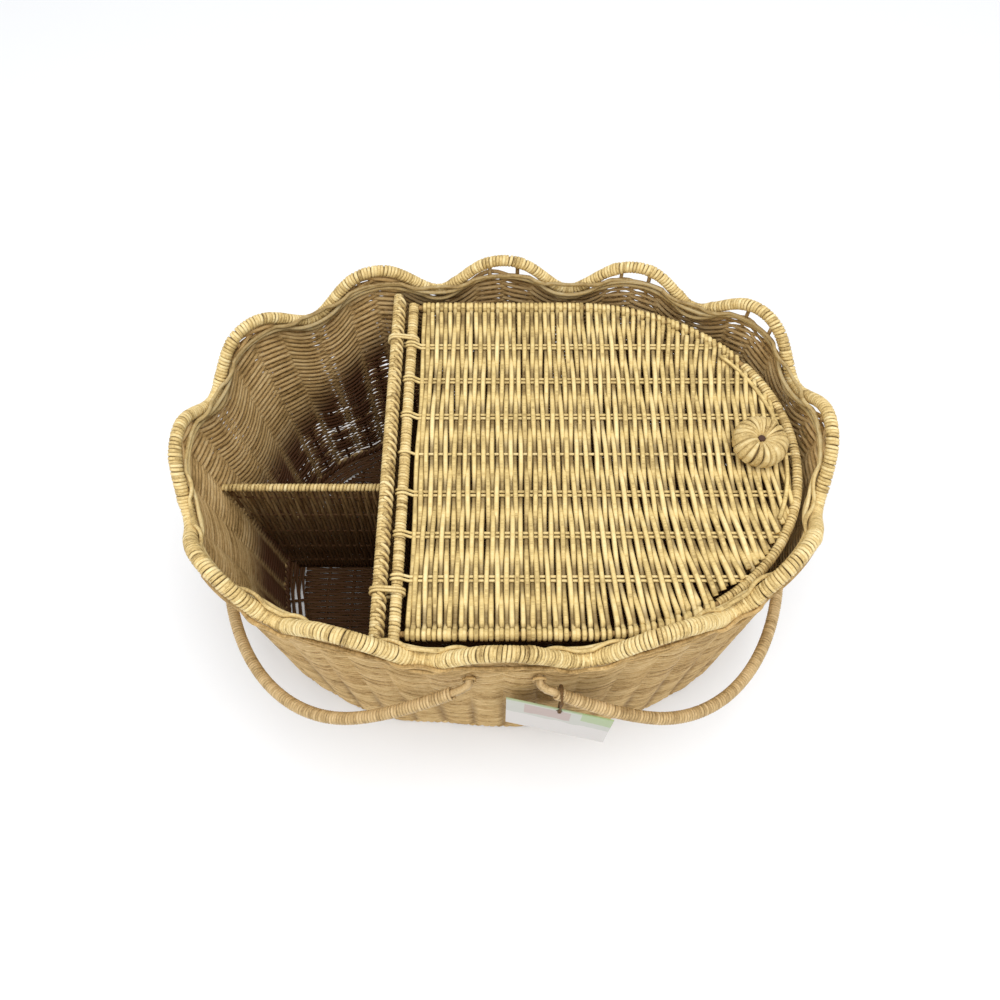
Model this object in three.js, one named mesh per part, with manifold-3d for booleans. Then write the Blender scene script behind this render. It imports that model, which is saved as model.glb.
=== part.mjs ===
// Oval rattan picnic basket with a scalloped rim, in millimetres.
// +Z is up, +X runs along the basket toward the lid's curved end and +Y points to the back.
// The origin lies under the middle of the basket, on the surface it stands on.
// The left third is open and has two bottle bays, and the rest lies under a hinged D-shaped lid.

import * as THREE from 'three';
import { mergeVertices } from 'three/addons/utils/BufferGeometryUtils.js';
import Module from 'manifold-3d';

const wasm = await Module();
wasm.setup();

// Basket outline
const rimLength = 500;
const rimDepth = 352;
const rimSquareness = 2.31;
const baseLength = 445;
const baseDepth = 323;
const baseSquareness = 2.73;
const rimHeight = 243;

// Scallops of the rim, which fade into flutes lower down
const scallops = 12;
const scallopRise = 15;
const scallopSharpness = 0.12;
const rimBulge = 3;
const baseBulge = 1.2;
const columnsPerScallop = 8;

// Wall, rim rod and base
const wallThickness = 5;
const weaveBands = 6;
const weaveRelief = 2;
const pivotSeat = 24;
const rimRodDiameter = 13;
const rimCoreDiameter = 8.6;
const rimSlitAngle = 0.49;
const baseThickness = 6;
const borderWidth = 9;
const borderHeight = 9;
const stakes = 48;
const stakeDiameter = 3.4;
const hoopHeight = 3;
const clearance = 0.3;

// Dividers of the left third
const leftBayLength = 159.9;
const dividerThickness = 5;
const mainRodDrop = 17;
const mainRodDiameter = 10;
const mainRodCoreDiameter = 6;
const shortDividerY = -2;
const shortRodHeight = 173;
const shortRodDiameter = 6;
const shortRodCoreDiameter = 3.4;

// Lid, hinged on the main divider's rod by two cane ties
const hingeDrop = 2;
const hingeRodGap = 3.2;
const hingeRodDiameter = 9;
const hingeCoreDiameter = 5.6;
const lidEndMargin = 18.5;
const lidSideMargin = 25.5;
const lidCurveLength = 171.5;
const lidSquareness = 2.06;
const bowRodDiameter = 8;
const bowCoreDiameter = 4.8;
const lidWeaveThickness = 7;
const lidWeaveRelief = 1.1;
const lidRidges = 20;
const lidWeaveGap = 3.5;
const lidStakePairs = 7;
const lidStakeMargin = 45.9;
const lidStakeDiameter = 3;
const tieDiameter = 2.4;
const backTieMargin = 40;
const frontTieMargin = 35.5;
const tieNotchLength = 8;

// Wound knob near the lid's curved end
const knobEndMargin = 34.5;
const knobY = 3.2;
const knobRadius = 21;
const knobRingRadius = 12;
const knobHalfHeight = 8.8;
const knobStrandThickness = 1.8;
const knobStrandWidth = 3.7;
const knobLoops = 18;
const knobMissingTurn = 0.25;
const knobStepsPerLoop = 16;
const knobStrandGap = 0.52;
const knobPegDiameter = 2.4;
const knobHeadDiameter = 7.2;
const knobHeadThickness = 1.8;

// Swinging handles, one for each end
const pivotX = 25;
const pivotDrop = 41;
const handleRodDiameter = 10;
const handleCoreDiameter = 6;
const handleRimMargin = 1.6;
const handleFlare = 13.4;
const handleLegLength = 90;
const handleOverhang = 15.8;
const handleBareLength = 13;
const handleDroopDegrees = 23.5;
const handleRestGap = 0.8;
const pivotCornerRadius = 3.6;
const pivotEyeDiameter = 2;
const pivotKnotDiameter = 14;
const pivotKnotLength = 6;

// Swing tag on the right handle's front leg
const tagWidth = 80;
const tagHeight = 76;
const tagThickness = 0.8;
const tagDrop = 27;
const tagHoleDrop = 5;
const tagHoleDiameter = 5;
const tagYaw = 0.21;
const tagStandOff = 5.1;
const tagLegDistance = 17;
const tagTieDiameter = 1.4;
const tagTieSlack = 0.5;

// Facets
const roundSides = 8;
const thinSides = 6;
const bendSteps = 3;

// Finishes from the photograph
const finishes = {
  wrap: { color: 0xd9b877, roughness: 0.55 },
  weave: { color: 0xc6a062, roughness: 0.62 },
  core: { color: 0xa97c45, roughness: 0.6 },
  inner: { color: 0x7b5a34, roughness: 0.7 },
  handle: { color: 0xcfa468, roughness: 0.52 },
  card: { color: 0xece8e2, roughness: 0.75 },
};

// Plane maths

// A superellipse walked by its arc length, with share 0 on +X and going round toward +Y.
function makeOutline(length, depth, power) {
  const samples = 1440;
  const pointAt = (angle) => {
    const c = Math.cos(angle);
    const s = Math.sin(angle);
    const x = (length / 2) * Math.sign(c) * Math.abs(c) ** (2 / power);
    const y = (depth / 2) * Math.sign(s) * Math.abs(s) ** (2 / power);
    return new THREE.Vector2(x, y);
  };
  const angles = [];
  const lengths = [0];
  for (let i = 0; i <= samples; i += 1) {
    angles.push((2 * Math.PI * i) / samples);
  }
  for (let i = 1; i <= samples; i += 1) {
    lengths.push(lengths[i - 1] + pointAt(angles[i]).distanceTo(pointAt(angles[i - 1])));
  }
  const total = lengths[samples];
  return (share) => {
    const wanted = (share - Math.floor(share)) * total;
    let low = 0;
    let high = samples;
    while (high - low > 1) {
      const middle = (low + high) >> 1;
      if (lengths[middle] <= wanted) low = middle;
      else high = middle;
    }
    const part = (wanted - lengths[low]) / (lengths[high] - lengths[low]);
    return pointAt(angles[low] + part * (angles[high] - angles[low]));
  };
}

function outwardAt(outline, share) {
  const step = 1 / 1440;
  const along = outline(share + step).sub(outline(share - step)).normalize();
  return new THREE.Vector2(along.y, -along.x);
}

// Broad peaks and sharper valleys, with a peak at each end and at the front and back.
function scallopWave(share) {
  const angle = 2 * Math.PI * scallops * share;
  return Math.cos(angle) - scallopSharpness * Math.cos(2 * angle);
}

function bulged(outline, share, amount) {
  const push = amount * scallopWave(share);
  return outline(share).clone().addScaledVector(outwardAt(outline, share), push);
}

// Solids from rings of points

function geometryFrom(positions, faces) {
  const geometry = new THREE.BufferGeometry();
  const numbers = positions.flatMap((p) => p.toArray());
  geometry.setAttribute('position', new THREE.Float32BufferAttribute(numbers, 3));
  geometry.setIndex(faces);
  return geometry;
}

function signedVolume(geometry) {
  const position = geometry.getAttribute('position');
  const index = geometry.getIndex();
  const a = new THREE.Vector3();
  const b = new THREE.Vector3();
  const c = new THREE.Vector3();
  let volume = 0;
  for (let i = 0; i < index.count; i += 3) {
    a.fromBufferAttribute(position, index.getX(i));
    b.fromBufferAttribute(position, index.getX(i + 1));
    c.fromBufferAttribute(position, index.getX(i + 2));
    volume += a.dot(b.cross(c)) / 6;
  }
  return volume;
}

function facingOut(geometry) {
  if (signedVolume(geometry) < 0) {
    const index = geometry.getIndex();
    for (let i = 0; i < index.count; i += 3) {
      const first = index.getX(i);
      index.setX(i, index.getX(i + 1));
      index.setX(i + 1, first);
    }
  }
  return geometry;
}

// Joins rings of equal count, either round a closed path or between two capped ends.
function loft(rings, closedPath) {
  const count = rings[0].length;
  const faces = [];
  const spans = closedPath ? rings.length : rings.length - 1;
  for (let i = 0; i < spans; i += 1) {
    const here = i * count;
    const next = ((i + 1) % rings.length) * count;
    for (let j = 0; j < count; j += 1) {
      const k = (j + 1) % count;
      faces.push(here + j, next + j, next + k);
      faces.push(here + j, next + k, here + k);
    }
  }
  if (!closedPath) {
    const last = (rings.length - 1) * count;
    for (let j = 1; j < count - 1; j += 1) {
      faces.push(0, j, j + 1);
      faces.push(last, last + j + 1, last + j);
    }
  }
  return facingOut(geometryFrom(rings.flat(), faces));
}

// A tube with a bore, open at both ends.
function sleeve(outerRings, innerRings) {
  const count = outerRings[0].length;
  const offset = outerRings.length * count;
  const faces = [];
  for (let i = 0; i < outerRings.length - 1; i += 1) {
    for (let j = 0; j < count; j += 1) {
      const k = (j + 1) % count;
      const here = i * count;
      const next = here + count;
      faces.push(here + j, next + j, next + k, here + j, next + k, here + k);
      faces.push(offset + here + j, offset + next + k, offset + next + j);
      faces.push(offset + here + j, offset + here + k, offset + next + k);
    }
  }
  const last = (outerRings.length - 1) * count;
  for (let j = 0; j < count; j += 1) {
    const k = (j + 1) % count;
    faces.push(j, k, offset + k, j, offset + k, offset + j);
    faces.push(last + j, offset + last + k, last + k, last + j, offset + last + j, offset + last + k);
  }
  return facingOut(geometryFrom([...outerRings.flat(), ...innerRings.flat()], faces));
}

// Rings square to a flat path, given by its points and a function into space.
function planeRings(path, toSpace, radius, sides, closedPath) {
  const normal = toSpace(0, 0, 1).sub(toSpace(0, 0, 0));
  return path.map((point, i) => {
    const before = closedPath ? path.at(i - 1) : path[Math.max(i - 1, 0)];
    const after = closedPath ? path[(i + 1) % path.length] : path[Math.min(i + 1, path.length - 1)];
    const incoming = point.clone().sub(before).normalize();
    const outgoing = after.clone().sub(point).normalize();
    const along = incoming.clone().add(outgoing).normalize();
    const stretch = 1 / Math.max(along.dot(outgoing.lengthSq() > 0 ? outgoing : incoming), 0.5);
    const centre = toSpace(point.x, point.y, 0);
    const side = toSpace(-along.y, along.x, 0).sub(toSpace(0, 0, 0));
    const ring = [];
    for (let j = 0; j < sides; j += 1) {
      const angle = (2 * Math.PI * (j + 0.5)) / sides;
      const vertex = centre.clone().addScaledVector(side, radius * stretch * Math.cos(angle));
      ring.push(vertex.addScaledVector(normal, radius * Math.sin(angle)));
    }
    return ring;
  });
}

function planeTube(path, toSpace, radius, sides, closedPath) {
  return loft(planeRings(path, toSpace, radius, sides, closedPath), closedPath);
}

function planeSleeve(path, toSpace, outerRadius, innerRadius, sides) {
  const outerRings = planeRings(path, toSpace, outerRadius, sides, false);
  const innerRings = planeRings(path, toSpace, innerRadius, sides, false);
  return sleeve(outerRings, innerRings);
}

// The closed path of a cord pulled round two circles.
function beltPath(first, firstRadius, second, secondRadius, stepsPerArc) {
  const across = second.clone().sub(first);
  const heading = Math.atan2(across.y, across.x);
  const spread = Math.acos((firstRadius - secondRadius) / across.length());
  const path = [];
  for (let i = 0; i <= stepsPerArc; i += 1) {
    const angle = heading + spread + ((2 * Math.PI - 2 * spread) * i) / stepsPerArc;
    path.push(new THREE.Vector2(Math.cos(angle), Math.sin(angle)).multiplyScalar(firstRadius).add(first));
  }
  for (let i = 0; i <= stepsPerArc; i += 1) {
    const angle = heading - spread + (2 * spread * i) / stepsPerArc;
    path.push(new THREE.Vector2(Math.cos(angle), Math.sin(angle)).multiplyScalar(secondRadius).add(second));
  }
  return path;
}

// Solid cutting and joining

function toManifold(geometry) {
  const bare = geometry.clone();
  bare.deleteAttribute('normal');
  bare.deleteAttribute('uv');
  const merged = mergeVertices(bare, 1e-4);
  return new wasm.Manifold(new wasm.Mesh({
    numProp: 3,
    vertProperties: new Float32Array(merged.getAttribute('position').array),
    triVerts: new Uint32Array(merged.getIndex().array),
  }));
}

function fromManifold(solid) {
  const mesh = solid.getMesh();
  const geometry = new THREE.BufferGeometry();
  geometry.setAttribute('position', new THREE.BufferAttribute(new Float32Array(mesh.vertProperties), 3));
  geometry.setIndex(Array.from(mesh.triVerts));
  return geometry;
}

function cut(geometry, tools) {
  const solid = tools.reduce((left, tool) => left.subtract(toManifold(tool)), toManifold(geometry));
  return fromManifold(solid);
}

function common(geometry, limit) {
  return fromManifold(toManifold(geometry).intersect(toManifold(limit)));
}

// Keeps the main piece where a cut leaves slivers beside it.
function mainPiece(geometry) {
  const pieces = toManifold(geometry).decompose();
  const sizes = pieces.map((piece) => piece.volume());
  return fromManifold(pieces[sizes.indexOf(Math.max(...sizes))]);
}

function joined(geometries) {
  return fromManifold(geometries.map(toManifold).reduce((left, right) => left.add(right)));
}

function boxBetween(low, high) {
  const size = high.clone().sub(low);
  const box = new THREE.BoxGeometry(size.x, size.y, size.z);
  const middle = low.clone().add(high).multiplyScalar(0.5);
  return box.translate(middle.x, middle.y, middle.z);
}

function cylinderAlongY(radius, length, x, z) {
  return new THREE.CylinderGeometry(radius, radius, length, 12).translate(x, 0, z);
}

// Walls follow the rim and base outlines

const pivotHeight = rimHeight - pivotDrop;
const rimRadius = rimRodDiameter / 2;
const rimCentre = makeOutline(rimLength - rimRodDiameter, rimDepth - rimRodDiameter, rimSquareness);
const baseEdge = makeOutline(baseLength, baseDepth, baseSquareness);
const columns = scallops * columnsPerScallop;

// A frame on the rim rod: its centre, the way out and the way down, square to the rod.
function rimFrame(share) {
  const place = (at) => {
    const flat = bulged(rimCentre, at, rimBulge);
    return new THREE.Vector3(flat.x, flat.y, rimHeight + scallopRise * scallopWave(at));
  };
  const step = 1 / 2880;
  const centre = place(share);
  const along = place(share + step).sub(place(share - step)).normalize();
  const level = new THREE.Vector3(along.y, -along.x, 0).normalize();
  const down = along.clone().cross(level).normalize();
  if (down.z > 0) down.negate();
  return { centre, out: level, down };
}

const wallSeat = rimRadius * Math.cos(rimSlitAngle) + clearance;
const wallFoot = borderHeight + clearance;

// A point of the wall: share runs round it, rise from 0 at its foot to 1 under the rim,
// and inset is the depth in from its outer face.
function wallPoint(share, rise, inset) {
  const outward = outwardAt(baseEdge, share);
  const footFlat = bulged(baseEdge, share, baseBulge).addScaledVector(outward, -inset);
  const foot = new THREE.Vector3(footFlat.x, footFlat.y, wallFoot);
  const frame = rimFrame(share);
  const top = frame.centre.clone();
  top.addScaledVector(frame.down, wallSeat);
  top.addScaledVector(frame.out, wallThickness / 2 - inset);
  return foot.lerp(top, rise);
}

function wallRing(rise, inset, count) {
  return Array.from({ length: count }, (_, i) => wallPoint(i / count, rise, inset));
}

// How far out the wall's outer face is at one X and height, on the front or back.
function wallOuterY(x, height) {
  let best = 0;
  let bestMiss = Infinity;
  const tries = 720;
  for (let i = 0; i < tries; i += 1) {
    const share = (0.5 * i) / tries;
    const low = wallPoint(share, 0, 0);
    const high = wallPoint(share, 1, 0);
    const point = low.lerp(high, (height - low.z) / (high.z - low.z));
    const miss = Math.abs(point.x - x);
    if (miss < bestMiss) {
      bestMiss = miss;
      best = point.y;
    }
  }
  return best;
}

// The least and the most of the same over the square that a round piece covers
function wallSpan(x, height, radius) {
  const values = [];
  for (const right of [-radius, 0, radius]) {
    for (const up of [-radius, 0, radius]) {
      values.push(wallOuterY(x + right, height + up));
    }
  }
  return { least: Math.min(...values), most: Math.max(...values) };
}

function wallOuterX(height) {
  const low = wallPoint(0, 0, 0);
  const high = wallPoint(0, 1, 0);
  return low.lerp(high, (height - low.z) / (high.z - low.z)).x;
}

// How far a point lies outside the wall in the front or back right quarter, seen from above
function wallGap(point) {
  const tries = 180;
  let least = Infinity;
  for (let i = 0; i <= tries; i += 1) {
    const share = (0.25 * i) / tries;
    const low = wallPoint(share, 0, 0);
    const high = wallPoint(share, 1, 0);
    const wall = low.lerp(high, (point.z - low.z) / (high.z - low.z));
    const outward = outwardAt(baseEdge, share);
    const across = new THREE.Vector2(point.x - wall.x, point.y - wall.y);
    const gap = Math.sign(across.dot(outward)) * across.length();
    if (Math.abs(gap) < Math.abs(least)) least = gap;
  }
  return least;
}

// The space inside the wall and above the uprights' hoop, kept a clearance away from them.
function insideSpace() {
  const inset = wallThickness + clearance;
  const hoopInset = inset + stakeDiameter + clearance;
  const floor = baseThickness + clearance;
  const ledge = floor + hoopHeight + clearance;
  const at = (ring, height) => ring.map((p) => p.setZ(height));
  return loft([
    at(wallRing(0, hoopInset, columns), floor),
    at(wallRing(0, hoopInset, columns), ledge),
    at(wallRing(0, inset, columns), ledge),
    wallRing(1, inset, columns),
  ], false);
}

// Uprights on the wall's inner face, fattened by a margin where they are used to cut
function stakeSolid(index, margin) {
  const share = (index + 0.5) / stakes;
  const inset = wallThickness + clearance + stakeDiameter / 2;
  const radius = stakeDiameter / 2 + margin;
  const low = wallPoint(share, 0, inset).setZ(baseThickness + clearance - margin);
  const high = wallPoint(share, 1, inset);
  high.z -= stakeDiameter / 3;
  const sides = 5;
  const outward = outwardAt(baseEdge, share);
  const facing = Math.atan2(outward.y, outward.x) + Math.PI / sides;
  const ring = (centre) => Array.from({ length: sides }, (_, j) => {
    const angle = facing + (2 * Math.PI * j) / sides;
    return centre.clone().add(new THREE.Vector3(radius * Math.cos(angle), radius * Math.sin(angle), 0));
  });
  return loft([ring(low), ring(high)], false);
}

function stakesNear(test, margin) {
  const near = [];
  for (let i = 0; i < stakes; i += 1) {
    if (test(wallPoint((i + 0.5) / stakes, 0.5, wallThickness))) near.push(stakeSolid(i, margin));
  }
  return near;
}

function makeStakeCage() {
  const inset = wallThickness + clearance;
  const rings = Array.from({ length: columns }, (_, i) => {
    const share = i / columns;
    const low = baseThickness + clearance;
    const outer = wallPoint(share, 0, inset);
    const inner = wallPoint(share, 0, inset + stakeDiameter);
    return [
      outer.clone().setZ(low),
      inner.clone().setZ(low),
      inner.clone().setZ(low + hoopHeight),
      outer.clone().setZ(low + hoopHeight),
    ];
  });
  const hoop = loft(rings, true);
  const uprights = Array.from({ length: stakes }, (_, i) => stakeSolid(i, 0));
  return joined([hoop, ...uprights]);
}

// The wall's outer face where its bands pass over and under the uprights in turn.
// It is left plain round the handles' pivots, where their eyes are seated.
function weavePoint(column, band) {
  const share = column / columns;
  const rise = (band + 0.5) / weaveBands;
  const over = Math.sin(Math.PI * stakes * share) * (-1) ** band;
  const plain = wallPoint(share, rise, 0);
  const fromPivot = Math.hypot(Math.abs(plain.x) - pivotX, plain.z - pivotHeight);
  return fromPivot < pivotSeat ? plain : wallPoint(share, rise, (weaveRelief / 2) * (1 - over));
}

function makeWallWeave() {
  const bands = Array.from({ length: weaveBands }, (_, band) => {
    return Array.from({ length: columns }, (_, column) => weavePoint(column, band));
  });
  const outer = [wallRing(0, 0, columns), ...bands, wallRing(1, 0, columns)];
  const inner = [wallRing(1, wallThickness, columns), wallRing(0, wallThickness, columns)];
  const sections = [...outer, ...inner];
  const rings = Array.from({ length: columns }, (_, i) => sections.map((ring) => ring[i]));
  const holes = [];
  for (const x of [-pivotX, pivotX]) {
    holes.push(cylinderAlongY(handleCoreDiameter / 2 + clearance, rimDepth, x, pivotHeight));
  }
  return cut(loft(rings, true), holes);
}

// Rim and base

function makeRimCore() {
  const rings = Array.from({ length: columns }, (_, i) => {
    const frame = rimFrame(i / columns);
    const sides = 5;
    return Array.from({ length: sides }, (_, j) => {
      const angle = (2 * Math.PI * j) / sides;
      const radius = rimCoreDiameter / 2;
      const point = frame.centre.clone().addScaledVector(frame.out, radius * Math.cos(angle));
      return point.addScaledVector(frame.down, radius * Math.sin(angle));
    });
  });
  return loft(rings, true);
}

// The cane wrap is open below along a slit, where the wall's top meets the core.
function makeRimWrap() {
  const steps = 6;
  const sweep = 2 * Math.PI - 2 * rimSlitAngle;
  const innerRadius = (rimCoreDiameter / 2 + clearance) / Math.cos(sweep / (2 * steps));
  const rings = Array.from({ length: columns }, (_, i) => {
    const frame = rimFrame(i / columns);
    const arc = (radius) => Array.from({ length: steps + 1 }, (_, j) => {
      const angle = rimSlitAngle + (sweep * j) / steps;
      const point = frame.centre.clone().addScaledVector(frame.out, radius * Math.sin(angle));
      return point.addScaledVector(frame.down, radius * Math.cos(angle));
    });
    return [...arc(rimRadius), ...arc(innerRadius).reverse()];
  });
  return loft(rings, true);
}

function makeBasePanel() {
  const inset = borderWidth + clearance;
  const ring = (height) => Array.from({ length: columns }, (_, i) => {
    const share = i / columns;
    const outward = outwardAt(baseEdge, share);
    const flat = bulged(baseEdge, share, baseBulge).addScaledVector(outward, -inset);
    return new THREE.Vector3(flat.x, flat.y, height);
  });
  return loft([ring(0), ring(baseThickness)], false);
}

function makeBaseBorder() {
  const profile = [
    [0, 0],
    [borderWidth, 0],
    [borderWidth, baseThickness],
    [wallThickness, baseThickness],
    [wallThickness, borderHeight],
    [0, borderHeight],
  ];
  const rings = Array.from({ length: columns }, (_, i) => {
    const share = i / columns;
    const outward = outwardAt(baseEdge, share);
    return profile.map(([inset, height]) => {
      const flat = bulged(baseEdge, share, baseBulge).addScaledVector(outward, -inset);
      return new THREE.Vector3(flat.x, flat.y, height);
    });
  });
  return loft(rings, true);
}

// Dividers

const mainDividerX = leftBayLength - rimLength / 2;
const mainRodHeight = rimHeight - mainRodDrop;
const hingeX = mainDividerX + (mainRodDiameter + hingeRodDiameter) / 2 + hingeRodGap;
const lidHeight = mainRodHeight - hingeDrop;
const lidEndX = rimLength / 2 - lidEndMargin;
const lidDepth = rimDepth - 2 * lidSideMargin;
const backTieY = lidDepth / 2 - backTieMargin;
const frontTieY = frontTieMargin - lidDepth / 2;
const hingeRadius = hingeRodDiameter / 2;
const inside = insideSpace();

function makeMainDivider() {
  const half = dividerThickness / 2;
  const top = mainRodHeight - mainRodDiameter / 2 - clearance;
  const low = new THREE.Vector3(mainDividerX - half, -rimDepth, 0);
  const high = new THREE.Vector3(mainDividerX + half, rimDepth, top);
  const near = stakesNear((p) => Math.abs(p.x - mainDividerX) < stakeDiameter + dividerThickness, clearance);
  const notches = [hingeTie(backTieY, clearance), hingeTie(frontTieY, clearance)];
  return mainPiece(cut(common(boxBetween(low, high), inside), [...near, ...notches]));
}

function makeShortDivider() {
  const half = dividerThickness / 2;
  const top = shortRodHeight - shortRodDiameter / 2 - clearance;
  const end = mainDividerX - dividerThickness / 2 - clearance;
  const low = new THREE.Vector3(-rimLength, shortDividerY - half, 0);
  const high = new THREE.Vector3(end, shortDividerY + half, top);
  const reach = stakeDiameter + dividerThickness;
  const near = stakesNear((p) => p.x < end && Math.abs(p.y - shortDividerY) < reach, clearance);
  return mainPiece(cut(common(boxBetween(low, high), inside), near));
}

// A straight rod that runs along a line and ends at the wall
function rodRings(start, end, radius, sides, turn) {
  const along = end.clone().sub(start).normalize();
  const up = new THREE.Vector3(0, 0, 1);
  const side = along.clone().cross(up).normalize();
  return [start, end].map((centre) => Array.from({ length: sides }, (_, j) => {
    const angle = turn + (2 * Math.PI * j) / sides;
    const point = centre.clone().addScaledVector(side, radius * Math.cos(angle));
    return point.addScaledVector(up, radius * Math.sin(angle));
  }));
}

function wrappedRod(start, end, outerDiameter, coreDiameter) {
  const turn = Math.PI / roundSides;
  const bore = (coreDiameter / 2 + clearance) / Math.cos(turn);
  const outerRings = rodRings(start, end, outerDiameter / 2, roundSides, turn);
  const innerRings = rodRings(start, end, bore, roundSides, turn);
  const core = loft(rodRings(start, end, coreDiameter / 2, roundSides, turn), false);
  return { core, wrap: sleeve(outerRings, innerRings) };
}

function mainRod() {
  const reach = wallOuterY(mainDividerX, mainRodHeight);
  const end = reach - wallThickness - clearance - mainRodDiameter / 6;
  const from = new THREE.Vector3(mainDividerX, -end, mainRodHeight);
  const to = new THREE.Vector3(mainDividerX, end, mainRodHeight);
  return wrappedRod(from, to, mainRodDiameter, mainRodCoreDiameter);
}

function shortRod() {
  const wallX = -wallOuterX(shortRodHeight) + wallThickness + clearance + shortRodDiameter / 6;
  const end = mainDividerX - dividerThickness / 2 - clearance;
  const from = new THREE.Vector3(wallX, shortDividerY, shortRodHeight);
  const to = new THREE.Vector3(end, shortDividerY, shortRodHeight);
  return wrappedRod(from, to, shortRodDiameter, shortRodCoreDiameter);
}

// Lid

const bowRadius = bowRodDiameter / 2;
const bowHalfDepth = lidDepth / 2 - bowRadius;
const bowEndX = lidEndX - bowRadius;
const lidCurveStartX = lidEndX - lidCurveLength;
const lidWeaveStartX = hingeX + hingeRadius + lidWeaveGap;
const atLid = (x, y, z) => new THREE.Vector3(x, y, lidHeight + z);

// The lid's outline, drawn in by an inset, from the front hinge corner round to the back one
function lidOutline(startX, inset) {
  const steps = 20;
  const path = [new THREE.Vector2(startX, inset - bowHalfDepth)];
  for (let i = 0; i <= steps; i += 1) {
    const angle = -Math.PI / 2 + (Math.PI * i) / steps;
    const c = Math.cos(angle);
    const s = Math.sin(angle);
    const x = (bowEndX - inset - lidCurveStartX) * Math.abs(c) ** (2 / lidSquareness);
    const y = (bowHalfDepth - inset) * Math.sign(s) * Math.abs(s) ** (2 / lidSquareness);
    path.push(new THREE.Vector2(lidCurveStartX + x, y));
  }
  path.push(new THREE.Vector2(startX, bowHalfDepth - inset));
  return path;
}

function lidSlab(startX, inset, thickness) {
  const outline = lidOutline(startX, inset);
  const ring = (z) => outline.map((p) => atLid(p.x, p.y, z));
  return loft([ring(-thickness / 2), ring(thickness / 2)], false);
}

// A stake pair as one flat rod, or one round rod where the photograph shows a single one
function lidStakeSection(isSingle, margin) {
  const half = lidStakeDiameter / 2 + margin;
  const centre = isSingle ? 0 : lidStakeDiameter / 2;
  const points = [];
  for (let j = 0; j < roundSides; j += 1) {
    const angle = (2 * Math.PI * (j + 0.5)) / roundSides;
    const shift = centre * Math.sign(Math.cos(angle));
    points.push(new THREE.Vector2(half * Math.cos(angle) + shift, half * Math.sin(angle)));
  }
  return points;
}

function lidStakeY(index) {
  return (lidDepth / 2 - lidStakeMargin) * ((2 * index) / (lidStakePairs - 1) - 1);
}

const lidStakeStartX = hingeX + hingeRadius + clearance;

function lidStakeRod(index, startX, margin) {
  const isSingle = index === (lidStakePairs - 1) / 2;
  const y = lidStakeY(index);
  const section = lidStakeSection(isSingle, margin);
  const ring = (x) => section.map((p) => atLid(x, y + p.x, p.y));
  return loft([ring(startX), ring(lidEndX)], false);
}

function makeLidStake(index) {
  const inset = bowRadius + clearance;
  return common(lidStakeRod(index, lidStakeStartX, 0), lidSlab(hingeX, inset, lidWeaveThickness));
}

// Room in the weave's straight edge for a hinge tie, which the open lid swings round
function tieNotch(y) {
  const half = tieDiameter / 2 + clearance;
  const low = atLid(hingeX, y - half, -lidWeaveThickness);
  const high = atLid(lidWeaveStartX + tieNotchLength, y + half, lidWeaveThickness);
  return boxBetween(low, high);
}

// A block as wide as the lid whose two faces are ridged across, as the lid's weavers lie
function ridgedBlock() {
  const count = 2 * lidRidges;
  const face = (side) => Array.from({ length: count + 1 }, (_, i) => {
    const x = lidWeaveStartX + ((lidEndX - lidWeaveStartX) * i) / count;
    const z = lidWeaveThickness / 2 - (i % 2) * lidWeaveRelief;
    return new THREE.Vector2(x, side * z);
  });
  const profile = [...face(1), ...face(-1).reverse()];
  return loft([-lidDepth, lidDepth].map((y) => profile.map((p) => atLid(p.x, y, p.y))), false);
}

function makeLidWeave() {
  const outline = lidSlab(lidWeaveStartX, bowRadius + clearance, 2 * lidWeaveThickness);
  const slab = common(outline, ridgedBlock());
  const channels = Array.from({ length: lidStakePairs }, (_, i) => lidStakeRod(i, hingeX, clearance));
  const peg = new THREE.CylinderGeometry(1, 1, 2 * lidWeaveThickness, 10);
  const bore = knobPegDiameter / 2 + clearance;
  peg.scale(bore, 1, bore).rotateX(Math.PI / 2).translate(knobX, knobY, lidHeight);
  return cut(slab, [...channels, peg, tieNotch(backTieY), tieNotch(frontTieY)]);
}

function hingeRod() {
  const end = bowHalfDepth + bowRadius;
  return wrappedRod(atLid(hingeX, -end, 0), atLid(hingeX, end, 0), hingeRodDiameter, hingeCoreDiameter);
}

const bowStartX = hingeX + hingeRadius + clearance;

function makeBowCore() {
  return planeTube(lidOutline(bowStartX, 0), atLid, bowCoreDiameter / 2, thinSides, false);
}

function makeBowWrap() {
  const bore = (bowCoreDiameter / 2 + clearance) / Math.cos(Math.PI / roundSides);
  return planeSleeve(lidOutline(bowStartX, 0), atLid, bowRadius, bore, roundSides);
}

function hingeTie(y, margin) {
  const rodAt = new THREE.Vector2(mainDividerX, mainRodHeight);
  const hingeAt = new THREE.Vector2(hingeX, lidHeight);
  const off = clearance + tieDiameter / 2;
  const path = beltPath(rodAt, mainRodDiameter / 2 + off, hingeAt, hingeRadius + off, 8);
  const toSpace = (x, z, side) => new THREE.Vector3(x, y - side, z);
  return planeTube(path, toSpace, tieDiameter / 2 + margin, thinSides, true);
}

// Knob: a ring wound with cane, held by a peg through the lid

const knobX = lidEndX - knobEndMargin;
const knobStrandOffset = clearance + knobStrandThickness / 2;
const knobPathRadius = knobRadius - knobRingRadius - knobStrandThickness / 2;
const knobHeight = lidHeight + lidWeaveThickness / 2 + clearance + knobHalfHeight + knobStrandThickness / 2;

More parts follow.
